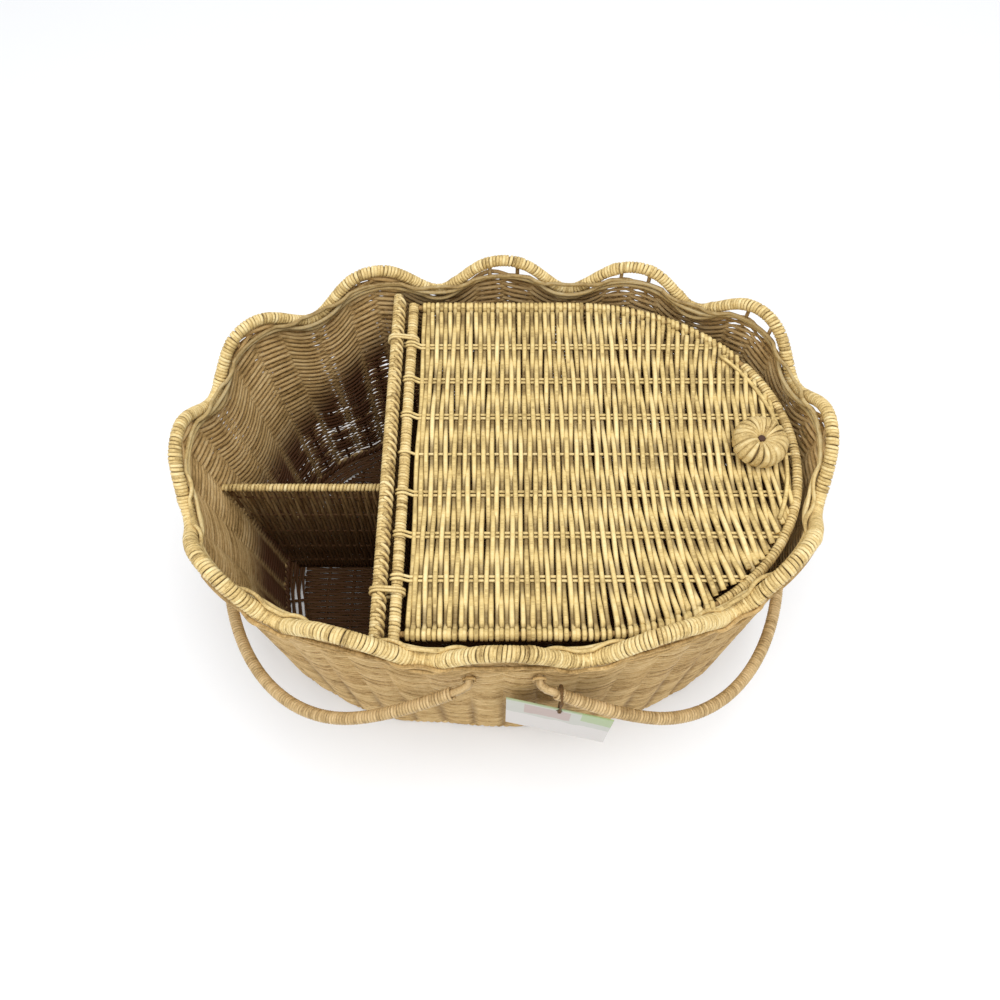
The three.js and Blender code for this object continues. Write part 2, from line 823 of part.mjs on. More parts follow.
function makeKnobCore() {
  const sides = 10;
  const radial = knobPathRadius - knobStrandOffset;
  const vertical = knobHalfHeight - knobStrandOffset;
  const profile = Array.from({ length: sides + 1 }, (_, j) => {
    const angle = (2 * Math.PI * (j % sides)) / sides;
    return new THREE.Vector2(knobRingRadius + radial * Math.cos(angle), vertical * Math.sin(angle));
  });
  const ring = facingOut(new THREE.LatheGeometry(profile, 16));
  return ring.rotateX(Math.PI / 2).translate(knobX, knobY, knobHeight);
}

// The strand's place after a number of turns, with its width there and its two directions
function knobStrand(turns) {
  const around = (2 * Math.PI * turns) / knobLoops;
  const angle = 2 * Math.PI * turns - Math.PI / 4;
  const radius = knobRingRadius + knobPathRadius * Math.cos(angle);
  const place = new THREE.Vector3(radius * Math.cos(around), radius * Math.sin(around), 0);
  place.z = knobHalfHeight * Math.sin(angle);
  const radial = new THREE.Vector3(Math.cos(around), Math.sin(around), 0);
  const off = radial.multiplyScalar(Math.cos(angle) / knobPathRadius);
  off.z = Math.sin(angle) / knobHalfHeight;
  const across = new THREE.Vector3(-Math.sin(around), Math.cos(around), 0);
  const pitch = (2 * Math.PI * radius) / knobLoops;
  const width = Math.min(knobStrandWidth, pitch - knobStrandGap);
  return { place, off: off.normalize(), across, width };
}

function makeKnobWrap() {
  const turns = knobLoops - knobMissingTurn;
  const steps = Math.round(turns * knobStepsPerLoop);
  const rings = [];
  for (let i = 0; i <= steps; i += 1) {
    const strand = knobStrand((turns * i) / steps);
    const ring = [];
    for (let j = 0; j < thinSides; j += 1) {
      const angle = (2 * Math.PI * j) / thinSides;
      const point = strand.place.clone();
      point.addScaledVector(strand.across, (strand.width / 2) * Math.cos(angle));
      point.addScaledVector(strand.off, (knobStrandThickness / 2) * Math.sin(angle));
      ring.push(point.add(new THREE.Vector3(knobX, knobY, knobHeight)));
    }
    rings.push(ring);
  }
  return loft(rings, false);
}

// The least gap between neighbouring turns, measured between the strands' edges
function knobLeastGap() {
  let least = Infinity;
  const samples = 360;
  for (let i = 0; i < samples; i += 1) {
    const here = knobStrand(i / samples);
    const next = knobStrand(1 + i / samples);
    const edge = here.place.addScaledVector(here.across, here.width / 2);
    const nextEdge = next.place.addScaledVector(next.across, -next.width / 2);
    least = Math.min(least, edge.distanceTo(nextEdge));
  }
  return least;
}
console.log(`least gap between the knob's turns: ${knobLeastGap().toFixed(2)} mm`);

function makeKnobPeg() {
  const shaft = knobPegDiameter / 2;
  const head = knobHeadDiameter / 2;
  const under = lidHeight - lidWeaveThickness / 2 - clearance;
  const seat = (knobRingRadius - knobStrandThickness / 2 - clearance - head) / knobPathRadius;
  const over = knobHeight + knobHalfHeight * Math.sqrt(1 - seat ** 2);
  const profile = [
    [0, under - knobHeadThickness],
    [head, under - knobHeadThickness],
    [head, under],
    [shaft, under],
    [shaft, over],
    [head, over],
    [head * 0.7, over + knobHeadThickness],
    [0, over + knobHeadThickness],
  ].map(([radius, height]) => new THREE.Vector2(radius, height));
  const peg = facingOut(new THREE.LatheGeometry(profile, 12));
  return peg.rotateX(Math.PI / 2).translate(knobX, knobY, 0);
}

// Handles

const handleRadius = handleRodDiameter / 2;
const knotRoom = wallSpan(pivotX, pivotHeight, pivotKnotDiameter / 2).least - wallThickness;
const knotInnerY = knotRoom - clearance - pivotKnotLength;
const eyeRingRadius = (handleCoreDiameter + pivotEyeDiameter) / 2 + clearance;
const eyeInnerY = wallSpan(pivotX, pivotHeight, eyeRingRadius + pivotEyeDiameter / 2).most + clearance;
const legPastEye = eyeInnerY + pivotEyeDiameter + clearance + pivotCornerRadius;
const handleLegStartY = Math.max(rimDepth / 2 + handleRimMargin, legPastEye);
const handleHalfWidth = handleLegStartY + handleFlare;
const handleReach = rimLength / 2 - pivotX + handleOverhang;
const handleBowDepth = handleReach - handleLegLength;


// Half of a handle's flat outline from its peg outward, as reach from the pivot and Y
function handleHalf(fromReach) {
  const half = [];
  const legSteps = 4;
  const bowSteps = 10;
  for (let i = 0; i <= legSteps; i += 1) {
    const reach = fromReach + ((handleLegLength - fromReach) * i) / legSteps;
    const spread = Math.sin((Math.PI / 2) * (reach / handleLegLength));
    half.push(new THREE.Vector2(reach, handleLegStartY + (handleHalfWidth - handleLegStartY) * spread));
  }
  for (let i = 1; i <= bowSteps; i += 1) {
    const angle = (Math.PI / 2) * (i / bowSteps);
    const reach = handleLegLength + handleBowDepth * Math.sin(angle);
    half.push(new THREE.Vector2(reach, handleHalfWidth * Math.cos(angle)));
  }
  return half;
}

// Turns a handle's flat outline into space: side is -1 for the left handle and 1 for the right
function hangingAt(angle, side) {
  return (reach, y, off) => new THREE.Vector3(
    side * (pivotX + reach * Math.cos(angle) + off * Math.sin(angle)),
    y,
    pivotHeight - reach * Math.sin(angle) + off * Math.cos(angle),
  );
}

// The droop at which the handle's bow would come to lie on the wall, at its end or its corners
function wallDroop() {
  const bow = handleHalf(handleLegLength);
  const isClear = (angle) => {
    const toSpace = hangingAt(angle, 1);
    return bow.every((p) => wallGap(toSpace(p.x, p.y, 0)) > handleRadius + handleRestGap);
  };
  let low = 0;
  let high = Math.PI / 3;
  while (high - low > 1e-6) {
    const middle = (low + high) / 2;
    if (isClear(middle)) low = middle;
    else high = middle;
  }
  return low;
}

const lowestDroop = wallDroop();
const droop = Math.min(THREE.MathUtils.degToRad(handleDroopDegrees), lowestDroop);
const fall = THREE.MathUtils.radToDeg(lowestDroop - droop);
console.log(`handles hang ${fall.toFixed(2)} degrees above the wall`);

function mirrored(half) {
  const back = half.slice(0, -1).map((p) => new THREE.Vector2(p.x, -p.y)).reverse();
  return [...half.slice(0, -1), half.at(-1), ...back];
}

function handlePath() {
  const half = [new THREE.Vector2(0, knotInnerY)];
  const corner = new THREE.Vector2(pivotCornerRadius, handleLegStartY - pivotCornerRadius);
  for (let i = 0; i <= bendSteps; i += 1) {
    const angle = (Math.PI / 2) * (i / bendSteps);
    const bend = new THREE.Vector2(-Math.cos(angle), Math.sin(angle)).multiplyScalar(pivotCornerRadius);
    half.push(bend.add(corner));
  }
  return mirrored([...half, ...handleHalf(handleBareLength)]);
}

function makeHandleCore(side) {
  return planeTube(handlePath(), hangingAt(droop, side), handleCoreDiameter / 2, thinSides, false);
}

function makeHandleWrap(side) {
  const bore = (handleCoreDiameter / 2 + clearance) / Math.cos(Math.PI / roundSides);
  const path = mirrored(handleHalf(handleBareLength));
  return planeSleeve(path, hangingAt(droop, side), handleRadius, bore, roundSides);
}

function makeKnot(x, side) {
  const bore = handleCoreDiameter / 2 + clearance;
  const outer = pivotKnotDiameter / 2;
  const ease = pivotKnotLength / 4;
  const half = pivotKnotLength / 2;
  const profile = [
    [bore, -half],
    [outer - ease, -half],
    [outer, -half + ease],
    [outer, half - ease],
    [outer - ease, half],
    [bore, half],
    [bore, -half],
  ].map(([radius, height]) => new THREE.Vector2(radius, height));
  const ring = facingOut(new THREE.LatheGeometry(profile, 10));
  return ring.translate(x, side * (knotInnerY + half), pivotHeight);
}

function makePivotEye(x, side) {
  const strand = pivotEyeDiameter / 2;
  const ring = new THREE.TorusGeometry(eyeRingRadius, strand, 5, 12);
  return ring.rotateX(Math.PI / 2).translate(x, side * (eyeInnerY + strand), pivotHeight);
}

// Swing tag

const tagLegY = handleHalf(tagLegDistance)[0].y;
const tagCentreY = -tagLegY - tagStandOff;
const tagHoleX = pivotX + tagLegDistance * Math.cos(droop);
const tagTopHeight = pivotHeight - tagDrop;
const tagHoleHeight = tagTopHeight - tagHoleDrop;

function makeTagCard() {
  const card = new THREE.BoxGeometry(tagWidth, tagThickness, tagHeight);
  const hole = new THREE.CylinderGeometry(tagHoleDiameter / 2, tagHoleDiameter / 2, 4 * tagThickness, 12);
  hole.translate(0, 0, tagHeight / 2 - tagHoleDrop);
  const cutCard = cut(card, [hole]);
  return cutCard.rotateZ(-tagYaw).translate(tagHoleX, tagCentreY, tagTopHeight - tagHeight / 2);
}

function makeTagTie() {
  const rodAt = new THREE.Vector2(-tagLegY, pivotHeight - tagLegDistance * Math.sin(droop));
  const holeAt = new THREE.Vector2(tagCentreY, tagHoleHeight);
  const off = tagTieSlack + tagTieDiameter / 2;
  const path = beltPath(rodAt, handleRadius / Math.cos(droop) + off, holeAt, tagTieDiameter, 7);
  const toSpace = (y, z, side) => new THREE.Vector3(tagHoleX + side, y, z);
  return planeTube(path, toSpace, tagTieDiameter / 2, 5, true);
}

// Assembly

const group = new THREE.Group();

function add(name, finish, geometry) {
  const material = new THREE.MeshStandardMaterial({ ...finishes[finish], metalness: 0 });
  const mesh = new THREE.Mesh(geometry, material);
  mesh.name = name;
  group.add(mesh);
}

add('base_panel', 'inner', makeBasePanel());
add('base_border', 'weave', makeBaseBorder());
add('wall_weave', 'weave', makeWallWeave());
add('wall_stakes', 'core', makeStakeCage());
add('rim_core', 'core', makeRimCore());
add('rim_wrap', 'wrap', makeRimWrap());
add('main_divider_weave', 'weave', makeMainDivider());
const mainRodParts = mainRod();
add('main_divider_rod', 'core', mainRodParts.core);
add('main_divider_wrap', 'wrap', mainRodParts.wrap);
add('short_divider_weave', 'weave', makeShortDivider());
const shortRodParts = shortRod();
add('short_divider_rod', 'core', shortRodParts.core);
add('short_divider_wrap', 'wrap', shortRodParts.wrap);
add('hinge_tie_back', 'wrap', hingeTie(backTieY, 0));
add('hinge_tie_front', 'wrap', hingeTie(frontTieY, 0));
const hingeParts = hingeRod();
add('lid_hinge_rod', 'core', hingeParts.core);
add('lid_hinge_wrap', 'wrap', hingeParts.wrap);
add('lid_bow_rod', 'core', makeBowCore());
add('lid_bow_wrap', 'wrap', makeBowWrap());
add('lid_weave', 'weave', makeLidWeave());
for (let i = 0; i < lidStakePairs; i += 1) {
  add(`lid_stake_${i + 1}`, 'core', makeLidStake(i));
}
add('knob_ring', 'core', makeKnobCore());
add('knob_winding', 'wrap', makeKnobWrap());
add('knob_peg', 'core', makeKnobPeg());
for (const [label, side] of [['left', -1], ['right', 1]]) {
  add(`handle_${label}_rod`, 'core', makeHandleCore(side));
  add(`handle_${label}_wrap`, 'handle', makeHandleWrap(side));
  for (const [place, way] of [['front', -1], ['back', 1]]) {
    add(`handle_${label}_knot_${place}`, 'core', makeKnot(side * pivotX, way));
    add(`pivot_eye_${label}_${place}`, 'core', makePivotEye(side * pivotX, way));
  }
}
add('swing_tag', 'card', makeTagCard());
add('tag_tie', 'core', makeTagTie());

export default group;
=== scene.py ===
"""Woven cane picnic basket: every cane of the finished basket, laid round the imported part."""

import math

import bmesh
import bpy
import numpy as np
from bpy.props import FloatProperty, FloatVectorProperty, PointerProperty
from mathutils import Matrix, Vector


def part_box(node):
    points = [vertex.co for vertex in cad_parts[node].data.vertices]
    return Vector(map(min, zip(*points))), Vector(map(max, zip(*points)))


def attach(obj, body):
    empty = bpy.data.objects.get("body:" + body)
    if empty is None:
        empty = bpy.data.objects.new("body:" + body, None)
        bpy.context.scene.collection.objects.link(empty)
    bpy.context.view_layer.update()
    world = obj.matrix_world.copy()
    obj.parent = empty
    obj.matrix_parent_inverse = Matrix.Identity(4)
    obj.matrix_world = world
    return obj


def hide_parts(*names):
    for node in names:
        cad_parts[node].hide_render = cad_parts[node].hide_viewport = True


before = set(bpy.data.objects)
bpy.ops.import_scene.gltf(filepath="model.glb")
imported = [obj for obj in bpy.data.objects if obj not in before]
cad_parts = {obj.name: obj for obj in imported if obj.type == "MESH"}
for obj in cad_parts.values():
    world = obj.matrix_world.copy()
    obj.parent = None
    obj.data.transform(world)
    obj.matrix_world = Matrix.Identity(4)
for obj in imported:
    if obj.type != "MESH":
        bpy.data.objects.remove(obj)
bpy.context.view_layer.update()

bl_info = {
    "name": "Woven cane picnic basket",
    "version": (1, 0, 0),
    "blender": (4, 5, 0),
    "location": "3D View > Sidebar > Basket",
    "description": "Lays the canes of a scalloped picnic basket round its packed frame",
    "category": "Add Mesh",
}

MM = 0.001
UP = np.array([0.0, 0.0, 1.0])
OUTLINE_STEPS = 2880

# The frame's own sizes, in millimetres. An outline is its length, its depth and its squareness,
# and a rod is its place, its height and its radius.
SCALLOPS = 12
SCALLOP_RISE = 15
SCALLOP_SHARPNESS = 0.12
RIM_OUTLINE = (487, 339, 2.31)
RIM_HEIGHT = 243
RIM_RADIUS = 6.5
BASE_OUTLINE = (445, 323, 2.73)
BASE_BULGE = 1.2
STAKES = 48
WALL_FOOT = 9.3
WALL_SEAT = 6.03
WALL_MIDDLE = 2.5
MAIN_ROD = (-90.1, 226.0, 5.0)
MAIN_FOOT_END = 133.0
SHORT_ROD = (-2.0, 173.0, 3.0)
SHORT_FOOT_START = -206.0
HINGE_ROD = (-77.4, 224.0, 4.5)
LID_HEIGHT = 224
BOW_HALF_DEPTH = 146.5
BOW_CURVE_START = 60
BOW_END = 227.5
BOW_SQUARENESS = 2.06
BOW_RADIUS = 4
RIBS = 7
RIB_SPACING = 34.87
TIE_PLACES = (110.5, -115.0)
KNOB = (197.0, 3.2, 237.5)
KNOB_RING_RADIUS = 12
KNOB_PATH_RADIUS = 8.1
KNOB_HALF_HEIGHT = 8.8
PIVOT_X = 25
PIVOT_HEIGHT = 202
DROOP = math.radians(23.5)
LEG_START = 177.83
LEG_FLARE = 13.4
LEG_LENGTH = 90
BOW_DEPTH = 150.8
HANDLE_BARE = 13
HANDLE_RADIUS = 5
CORNER_RADIUS = 3.6
TAG_YAW = 0.21
TAG_LEG_REACH = 17
TAG_HOLE_DROP = 5

# How far the woven rim strays from its solid, and between which places each stray sets in.
# RIM_BULGE is how far its scallops stand out, which is 3 in the solid.
RIM_BULGE = 1
RIM_SHIFT_BACK = 5
RIM_SHIFT_FORWARD = 4
RIM_LIFT = 8
RIGHT_END = (40, 210)
LEFT_END = (105.1, 225)
LIFTED_SIDE = (-100.6, 117.3)

# The canes' own sizes that no setting changes, in millimetres; OPEN_SLITS is a share of the slits
FLOOR_HALF_LENGTH = 221
FLOOR_HALF_DEPTH = 160
FLOOR_EDGE = 22.0
FLOOR_PITCH = 3.0
FLOOR_MIDDLE = 3.0
FLOOR_RADIUS = 1.6
FLOOR_SWING = 1.25
FLOOR_RIB_SPACING = 25.0
OPEN_SLITS = 0.42
PANEL_PITCH = 3.3
PANEL_FOOT = 6.6
LID_FIRST_WEAVER = 9.8
LID_LAST_WEAVER = 219
LOOPED_FRONT = 150
LOOPED_BACK = 196
KNUCKLE_RADIUS = 3.4
KNOB_TURNS = 22
KNOB_CANE = 3.1


def smooth(value, low, high):
    """A soft step from 0 at low to 1 at high."""
    step = np.clip((value - low) / (high - low), 0, 1)
    return step * step * (3 - 2 * step)


def ripple(turns):
    """A wave between -1 and 1 that starts again with each whole turn."""
    return np.sin(2 * np.pi * turns)


def quarter(run, squareness):
    """A superellipse of size 1, as its height over the share of its length that is run."""
    return (1 - run ** squareness) ** (1 / squareness)


def unit(vectors):
    """Each row of a table of vectors at length 1."""
    return vectors / np.linalg.norm(vectors, axis=-1, keepdims=True)


def columns(*values):
    """Numbers, lists and tables side by side as one table of numbers."""
    count = max(len(value) if np.ndim(value) else 1 for value in values)
    parts = [value if np.ndim(value) == 2 else np.broadcast_to(value, count) for value in values]
    return np.column_stack(parts).astype(float)


def travel(path):
    """The distance walked along a path at each of its points."""
    return np.concatenate([[0], np.cumsum(np.linalg.norm(np.diff(path, axis=0), axis=1))])


def along_path(place, marks, values):
    """A table's rows at places between their marks."""
    return columns(*[np.interp(place, marks, values[:, i]) for i in range(values.shape[1])])


class Outline:
    """A superellipse walked by its length: share 0 is on +X and grows toward +Y."""

    def __init__(self, length, depth, squareness):
        turn = np.linspace(0, 2 * np.pi, OUTLINE_STEPS + 1)
        c, s = np.cos(turn), np.sin(turn)
        power = 2 / squareness
        x = length / 2 * np.sign(c) * np.abs(c) ** power
        y = depth / 2 * np.sign(s) * np.abs(s) ** power
        self.points = columns(x, y)
        walked = travel(self.points)
        self.marks = walked / walked[-1]

    def at(self, share):
        """The outline's points at these shares of its length."""
        return along_path(np.mod(share, 1), self.marks, self.points)

    def outward(self, share):
        """The way out of the outline, square to it."""
        step = 2 / OUTLINE_STEPS
        along = unit(self.at(share + step) - self.at(share - step))
        return columns(along[:, 1], -along[:, 0])


RIM_LINE = Outline(*RIM_OUTLINE)
BASE_LINE = Outline(*BASE_OUTLINE)


def scallop_wave(share):
    """1 on top of a scallop, -1 between two, and a little sharper at the bottom."""
    turn = 2 * np.pi * SCALLOPS * share
    return np.cos(turn) - SCALLOP_SHARPNESS * np.cos(2 * turn)


def rim_centre(share):
    """The rim, less even than its solid: its right end further back, its left end further
    forward and its back right lifted, as it was woven by hand."""
    wave = scallop_wave(share)
    x, y = (RIM_LINE.at(share) + RIM_LINE.outward(share) * (RIM_BULGE * wave)[:, None]).T
    right = smooth(x, *RIGHT_END)
    left = smooth(-x, *LEFT_END)
    lift = RIM_LIFT * right * smooth(y, *LIFTED_SIDE)
    y = y + RIM_SHIFT_BACK * right - RIM_SHIFT_FORWARD * left
    return columns(x, y, RIM_HEIGHT + SCALLOP_RISE * wave + lift)


def rim_frame(share):
    """The rim rod's centre, its way out and its way down, square to the rod."""
    step = 1 / OUTLINE_STEPS
    along = unit(rim_centre(share + step) - rim_centre(share - step))
    out = unit(columns(along[:, 1], -along[:, 0], 0))
    down = unit(np.cross(along, out))
    down *= -np.sign(down[:, 2:])
    return rim_centre(share), out, down


def base_point(share, inset, height):
    """A point inside the base's scalloped outline, at one height."""
    outward = BASE_LINE.outward(share)
    push = (BASE_BULGE * scallop_wave(share) - inset)[:, None]
    flat = BASE_LINE.at(share) + outward * push
    return columns(flat[:, 0], flat[:, 1], height)


def wall_point(share, rise, inset):
    """A point of the wall: rise goes from 0 at its foot to 1 under the rim."""
    inset = np.broadcast_to(inset, share.shape)
    foot = base_point(share, inset, WALL_FOOT)
    centre, out, down = rim_frame(share)
    top = centre + down * WALL_SEAT + out * (WALL_MIDDLE - inset)[:, None]
    return foot + (top - foot) * np.broadcast_to(rise, share.shape)[:, None]


def wall_outward(share):
    """The level way out of the wall."""
    out = BASE_LINE.outward(share)
    return columns(out[:, 0], out[:, 1], 0)


def lid_half_depth(x):
    """Half the lid's depth at one place along it, on the bow's centre line."""
    run = np.clip((x - BOW_CURVE_START) / (BOW_END - BOW_CURVE_START), 0, 1)
    return BOW_HALF_DEPTH * quarter(run, BOW_SQUARENESS)


def lid_reach(y):
    """How far along the lid reaches at one depth, on the bow's centre line."""
    run = np.clip(np.abs(y) / BOW_HALF_DEPTH, 0, 1)
    return BOW_CURVE_START + (BOW_END - BOW_CURVE_START) * quarter(run, BOW_SQUARENESS)


def lid_bow(start, inset=0.0, steps=72, leg_steps=12):
    """The bow's centre line, from the front hinge corner round to the back one."""
    turn = np.linspace(-np.pi / 2, np.pi / 2, steps)
    c, s = np.cos(turn).clip(0), np.sin(turn)
    power = 2 / BOW_SQUARENESS
    x = BOW_CURVE_START + (BOW_END - inset - BOW_CURVE_START) * c ** power
    y = (BOW_HALF_DEPTH - inset) * np.sign(s) * np.abs(s) ** power
    leg = np.linspace(start, BOW_CURVE_START, leg_steps)[:-1]
    x = np.concatenate([leg, x, leg[::-1]])
    y = np.concatenate([np.full(len(leg), y[0]), y, np.full(len(leg), y[-1])])
    return columns(x, y, LID_HEIGHT)


def belt(first, first_radius, second, second_radius, steps=9):
    """The closed path of a cord pulled round two circles of one plane."""
    across = np.subtract(second, first)
    heading = math.atan2(across[1], across[0])
    spread = math.acos((first_radius - second_radius) / np.hypot(*across))

    def arc(start, end, radius, centre):
        angle = np.linspace(start, end, steps)
        return columns(np.cos(angle), np.sin(angle)) * radius + centre

    wide = arc(heading + spread, heading + 2 * np.pi - spread, first_radius, first)
    return np.concatenate([wide, arc(heading - spread, heading + spread, second_radius, second)])


def leg_across(reach):
    """How far from the basket's middle a handle's leg runs, at one reach from its pivot."""
    return LEG_START + LEG_FLARE * np.sin(np.pi / 2 * reach / LEG_LENGTH)


def handle_half(first_reach, steps=40, leg_steps=12):
    """Half a handle's flat outline, as its reach from the pivot and its distance in Y."""
    leg = np.linspace(first_reach, LEG_LENGTH, leg_steps)
    turn = np.linspace(0, np.pi / 2, steps)[1:]
    reach = LEG_LENGTH + BOW_DEPTH * np.sin(turn)
    across = (LEG_START + LEG_FLARE) * np.cos(turn)
    return columns(np.concatenate([leg, reach]), np.concatenate([leg_across(leg), across]))


def hang(flat, side):
    """Turns a handle's flat outline into space; side is -1 for the left one and 1 for the right."""
    reach, across = flat.T
    x = side * (PIVOT_X + reach * math.cos(DROOP))
    return columns(x, across, PIVOT_HEIGHT - reach * math.sin(DROOP))


def both_halves(half):
    """Mirrors half a handle's flat outline to the other side of the basket."""
    return np.concatenate([half, half[:-1][::-1] * [1, -1]])


class Canes:
    """Lengths of cane that become one mesh. Points and sizes are in millimetres.

    A length's face is the way its outer side looks: it is pressed flat along it, and gets painted
    shade away from it, as in the creases where canes lie side by side. A shade of 1 is clean cane
    and
    0 is dark brown: mostly painted shade low inside the basket, in gaps and under other canes, and
                     a
    browner tone where only a little is mixed in. The face side keeps only a share of its shade.
    Each length has its own tone from -1 to 1.
    """

    def __init__(self, name, seed, resolution=1, face_keeps=1.0):
        self.name = name
        self.face_keeps = face_keeps
        self.draw = np.random.default_rng(seed)
        self.curve = bpy.data.curves.new(name, "CURVE")
        self.curve.dimensions = "3D"
        self.curve.bevel_depth = 1
        self.curve.bevel_resolution = resolution
        self.curve.use_fill_caps = False
        self.laid = []

    def lay(self, points, radius, face, flat=1.0, shade=1.0, tone=None, closed=False):
        """Lays one length of cane; flat is its thickness as a share of its width."""
        points = np.asarray(points, float)
        count = len(points)
        spline = self.curve.splines.new("POLY")
        spline.points.add(count - 1)
        spline.use_cyclic_u = closed
        spline.points.foreach_set("co", columns(points * MM, 1).ravel())
        radii = np.broadcast_to(np.asarray(radius, float), count)
        spline.points.foreach_set("radius", np.ascontiguousarray(radii * MM))
        if tone is None:
            tone = self.draw.uniform(-1, 1)
        along = travel(points) + self.draw.uniform(0, 900)
        face = np.broadcast_to(np.asarray(face, float), (count, 3))
        self.laid.append(columns(points, face, radii, flat, shade, tone, along))

    def wind(self, path, out, up, radius, pitch, width, thickness, steps=10, phase=0.0,
             jitter=0.14, swell=None, shade=1.0, spread=1.0):
        """Winds one cane round a rod of a radius that holds the cane too. Its turns drift a
        little and each has its own tone. A shade may be a function of how far out a turn looks."""
        walked = travel(path)
        turns = max(int(round(walked[-1] / pitch)), 1)
        marks = np.arange(turns + 1) + self.draw.uniform(-jitter, jitter, turns + 1)
        marks[0], marks[-1] = 0, turns
        tones = self.draw.uniform(-spread, spread, turns + 1)
        count = np.arange(turns * steps + 1) / steps
        place = np.interp(count, np.arange(turns + 1), marks) / turns * walked[-1]
        centre = along_path(place, walked, path)
        angle = 2 * np.pi * (count + phase)
        face = along_path(place, walked, out) * np.cos(angle)[:, None]
        face += along_path(place, walked, up) * np.sin(angle)[:, None]
        face = unit(face)
        lift = radius - thickness / 2
        if swell is not None:
            lift = lift + swell(place / walked[-1])
        points = centre + face * np.broadcast_to(lift, count.shape)[:, None]
        tone = tones[np.floor(count).astype(int)]
        shade = shade(np.cos(angle)) if callable(shade) else shade
        self.lay(points, width / 2, face, thickness / width, shade, tone)

    def finish(self, finish, body, slot, *nodes):
        """Makes the mesh, closes the canes' ends and gives the piece to its body."""
        holder = bpy.data.objects.new(self.name + "_curve", self.curve)
        bpy.context.scene.collection.objects.link(holder)
        depsgraph = bpy.context.evaluated_depsgraph_get()
        mesh = bpy.data.meshes.new_from_object(holder.evaluated_get(depsgraph))
        bpy.data.objects.remove(holder)
        bpy.data.curves.remove(self.curve)
        laid = np.concatenate(self.laid)
        sides = len(mesh.vertices) // len(laid)
        corners = np.empty(len(mesh.vertices) * 3)
        mesh.vertices.foreach_get("co", corners)
        corners = corners.reshape(-1, sides, 3)
        # Each ring of corners is pressed flat along its face
        face, radius, flat = laid[:, 3:6], laid[:, 6] * MM, laid[:, 7]
        reach = corners - laid[:, None, :3] * MM
        height = (reach * face[:, None]).sum(-1)
        corners -= face[:, None] * (height * (1 - flat)[:, None])[..., None]
        mesh.vertices.foreach_set("co", corners.ravel())
        # What the finishes read: the crease mask, which becomes painted shade, is 1 halfway round
        # from the face
        crease = 1 - np.clip(np.abs(height) / radius[:, None], 0, 1)
        values = {"crease": crease.ravel()}
        for i, name in enumerate(("shade", "tone", "along"), 8):
            values[name] = np.repeat(laid[:, i], sides)
        # On the face side the shade keeps only face_keeps of itself: painted shade there, such as
        # on the floor's top
        faced = smooth(height / radius[:, None], -0.5, 0.3).ravel()
        values["shade"] *= 1 - (1 - self.face_keeps) * faced
        for name, value in values.items():
            attribute = mesh.attributes.new(name, "FLOAT", "POINT")
            attribute.data.foreach_set("value", value.astype(np.float32))
        close_ends(mesh)
        mesh.name = self.name
        piece = bpy.data.objects.new(self.name, mesh)
        bpy.context.scene.collection.objects.link(piece)
        settle(piece, finish, body, slot, *nodes)


def close_ends(mesh):
    """Fills the canes' open ends, turns every face outwards and shades them smoothly."""
    shape = bmesh.new()
    shape.from_mesh(mesh)
    rims = [edge for edge in shape.edges if edge.is_boundary]
    if rims:
        bmesh.ops.holes_fill(shape, edges=rims, sides=0)
    bmesh.ops.recalc_face_normals(shape, faces=shape.faces)
    for face in shape.faces:
        face.smooth = True
    shape.to_mesh(mesh)
    shape.free()


def core_rod(name, seed, path, radius, body, node, shade=0.3):
    """The rod inside a winding, as one length of cane."""
    rod = Canes(name, seed)
    # The rod shows only between the winding's turns, so its low shade is painted shade
    rod.lay(path, radius, UP, shade=shade)
    rod.finish("woven_cane", body, "cane_core", node)


def settle(piece, finish, body, slot, *nodes):
    """Gives a piece its finish and its body, and lets it stand for its nodes; its slot is not used.
    """
    piece.data.materials.clear()
    piece.data.materials.append(bpy.data.materials[finish])
    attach(piece, body)
    if nodes:
        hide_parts(*nodes)


def square_frame(path, normal):
    """The two ways square to a flat path: outward in its plane, and its plane's normal."""
    along = unit(np.gradient(path, axis=0))
    return unit(np.cross(along, normal)), np.broadcast_to(normal, path.shape).astype(float)


def dress(node, finish):
    """Gives a frame's own solid its finish."""
    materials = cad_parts[node].data.materials
    materials.clear()
    materials.append(bpy.data.materials[finish])


def straight(start, end, count=40):
    """A straight path of evenly spaced points."""
    return np.linspace(np.asarray(start, float), np.asarray(end, float), count)


# Shader maths


class Reading:
    """A node's output that adds, multiplies and compares like a number."""

    def __init__(self, finish, socket):
        self.finish = finish
        self.socket = socket

    def maths(self, operation, first, second):
        return self.finish.node("ShaderNodeMath", {"operation": operation}, {0: first, 1: second})

    def __add__(self, other):
        return self.maths("ADD", self, other)

    def __sub__(self, other):
        return self.maths("SUBTRACT", self, other)

    def __rsub__(self, other):
        return self.maths("SUBTRACT", other, self)

    def __mul__(self, other):
        return self.maths("MULTIPLY", self, other)

    def __pow__(self, other):
        return self.maths("POWER", self, other)

    def __gt__(self, other):
        return self.maths("GREATER_THAN", self, other)

    def __lt__(self, other):
        return self.maths("LESS_THAN", self, other)

    __radd__ = __add__
    __rmul__ = __mul__


